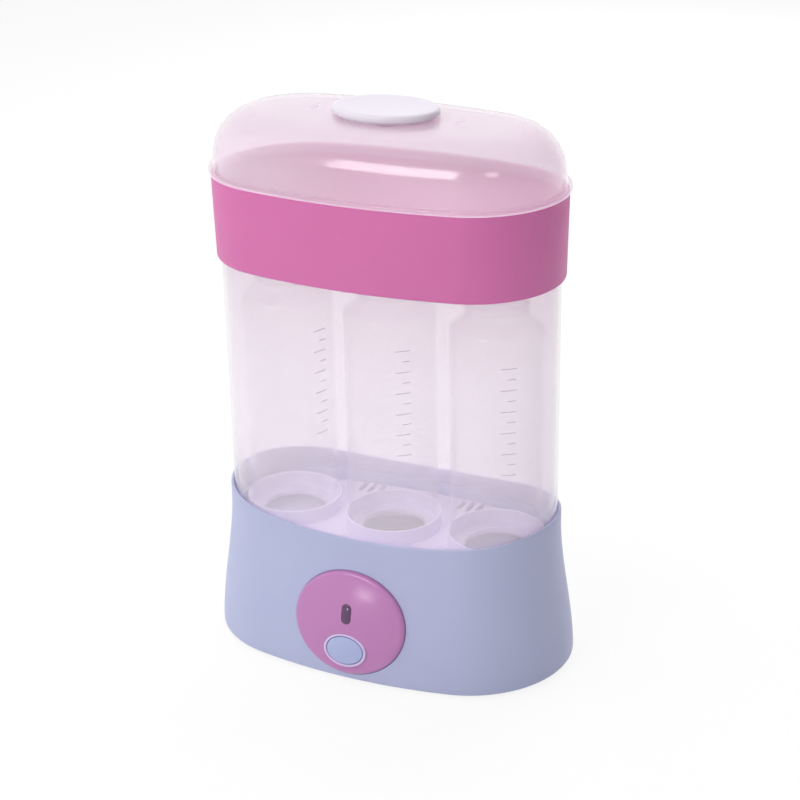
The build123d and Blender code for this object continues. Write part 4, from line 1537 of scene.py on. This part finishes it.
@dataclass
class Studio:
    """Pale floor, soft lamps and the camera at the photograph's angle."""

    azimuth: float = 25.6266
    elevation: float = 23.1923
    roll: float = 1.0424
    distance: float = 1176.0
    side_shift: float = 4.9734
    target_z: float = 153.8775
    lens: float = 90.0
    sensor: float = 36.0
    lamp_distance: float = 1700.0
    room_light: float = 0.36
    paper_glow: float = 0.86
    paper_colour: float = 0.95
    paper_fibre: float = 10 / 9
    paper_half: float = 12.0

    def camera(self) -> None:
        """Makes the camera."""
        turn, roll = math.radians(self.azimuth), math.radians(self.roll)
        level = Vector((math.cos(turn), math.sin(turn), 0))
        back = direction(self.azimuth, self.elevation)
        over = back.cross(level)
        right = level * math.cos(roll) - over * math.sin(roll)
        up = level * math.sin(roll) + over * math.cos(roll)
        target = level * self.side_shift + Vector((0, 0, self.target_z))
        pose = Matrix((right, up, back)).transposed().to_4x4()
        pose.translation = (target + back * self.distance) * MM
        data = bpy.data.cameras.new("photo_camera")
        data.lens, data.sensor_width = self.lens, self.sensor
        data.clip_start, data.clip_end = 0.05, 60.0
        camera = bpy.data.objects.new("photo_camera", data)
        bpy.context.scene.collection.objects.link(camera)
        camera.matrix_world = pose
        bpy.context.scene.camera = camera

    def lamp(
        self,
        name: str,
        azimuth: float,
        elevation: float,
        size: Spot,
        power: float,
        mirrored: bool = True,
        aim_z: float = 170.0,
        spread: float = 180.0,
    ) -> None:
        """Hangs a softbox that faces the object.

        Args:
            name: The lamp's name.
            azimuth: Its direction, in degrees to the right of the object's front.
            elevation: Its height over the level, in degrees.
            size: Its width and height in metres.
            power: Its power in watts.
            mirrored: Whether glossy surfaces show it.
            aim_z: Height on the object's axis that it points at.
            spread: Width of its beam in degrees.
        """
        data = bpy.data.lights.new(name, "AREA")
        data.shape = "RECTANGLE"
        data.size, data.size_y = size
        data.energy = power
        data.spread = math.radians(spread)
        lamp = bpy.data.objects.new(name, data)
        lamp.visible_glossy = mirrored
        bpy.context.scene.collection.objects.link(lamp)
        away = direction(azimuth, elevation)
        pose = away.to_track_quat("Z", "Y").to_matrix().to_4x4()
        pose.translation = (Vector((0, 0, aim_z)) + away * self.lamp_distance) * MM
        lamp.matrix_world = pose

    def lamps(self) -> None:
        """Hangs a key left of the camera, two small boxes for glints, and side, top and back boxes."""
        self.lamp("key_box", -15.5, 37.0, (0.92, 0.56), 10.2)
        self.lamp("glint_box", 50.4, 37.9, (0.36, 0.3), 1.5)
        self.lamp("panel_box", -15.3, 4.2, (0.34, 0.14), 0.008, aim_z=45.0, spread=12.0)
        self.lamp("side_box", -51.3, 25.0, (1.1, 1.1), 5.0, mirrored=False)
        self.lamp("top_box", -102.5, 65.0, (1.4, 1.0), 11.0, mirrored=False)
        self.lamp("back_box", 180.0, 26.5, (1.3, 1.1), 17.0, mirrored=False)

    def backdrop(self) -> None:
        """Makes the world and the floor, both white to the camera and in reflections."""
        world = bpy.data.worlds.new("soft_room")
        bpy.context.scene.world = world
        world.use_nodes = True
        tree = world.node_tree
        tree.nodes.clear()
        values = {"Color": WHITE, "Strength": self.seen_share(tree, self.room_light, 1.0)}
        shader = add_node(tree, "ShaderNodeBackground", values)
        add_node(tree, "ShaderNodeOutputWorld", {"Surface": shader.outputs[0]})

        material, tree = blank("matt_white_paper")
        fibre = cloud(tree, self.paper_fibre, {"Detail": 3.0})
        bump = add_node(tree, "ShaderNodeBump", {"Strength": 0.1, "Distance": 0.1 * MM, "Height": fibre})
        colour = (*[self.paper_colour] * 3, 1.0)
        paper = add_node(tree, "ShaderNodeBsdfDiffuse", {"Color": colour, "Normal": bump.outputs[0]})
        white = add_node(tree, "ShaderNodeEmission", {"Color": WHITE, "Strength": 1.0})
        glow = self.seen_share(tree, 0.0, self.paper_glow)
        values = {0: glow, 1: paper.outputs[0], 2: white.outputs[0]}
        mix = add_node(tree, "ShaderNodeMixShader", values)
        add_node(tree, "ShaderNodeOutputMaterial", {"Surface": mix.outputs[0]})
        mesh = bpy.data.meshes.new("paper_floor")
        half = self.paper_half
        mesh.from_pydata(
            [(-half, -half, 0), (half, -half, 0), (half, half, 0), (-half, half, 0)], [], [(0, 1, 2, 3)]
        )
        floor = linked("paper_floor", mesh)
        mesh.materials.append(material)

    def seen_share(self, tree: NodeTree, hidden: float, seen: float) -> NodeSocket:
        """Adds a value that differs for rays that end in the eye or in a reflection.

        Args:
            tree: The material's or the world's tree.
            hidden: Value for the rays that light other things.
            seen: Value for camera, glossy and transmission rays.

        Returns:
            The value.
        """
        path = add_node(tree, "ShaderNodeLightPath").outputs
        value = path["Is Glossy Ray"]
        for ray in ("Is Transmission Ray", "Is Camera Ray"):
            values = {"operation": "MAXIMUM", 0: path[ray], 1: value}
            value = add_node(tree, "ShaderNodeMath", values).outputs[0]
        values = {"Value": value, "To Min": hidden, "To Max": seen}
        return add_node(tree, "ShaderNodeMapRange", values).outputs["Result"]

    def settings(self) -> None:
        """Sets the view transform, and enough depth for the many clear walls."""
        scene = bpy.context.scene
        scene.view_settings.view_transform = "Standard"
        scene.cycles.transparent_max_bounces = 40


def main() -> None:
    """Builds the pieces in order, then the studio."""
    logging.basicConfig(level=logging.INFO, format="%(name)s: %(message)s")
    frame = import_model()
    studio = Studio()
    studio.camera()
    shop = Workshop(frame)
    base = Base(shop)
    panel = Panel(shop, base.wall_frame(base.panel_z, Panel.half_v, Face.FRONT))
    base.housing(panel)
    base.underside()
    base.works()
    panel.face()
    panel.window()
    panel.collar()
    panel.button()
    Sleeve(shop).build()
    Tray(shop).build()
    lid = Lid(shop)
    lid.dome()
    lid.grip()
    rack = Rack(shop)
    rack.rack()
    rack.bottles()
    studio.backdrop()
    studio.lamps()
    studio.settings()


if __name__ == "__main__":
    main()
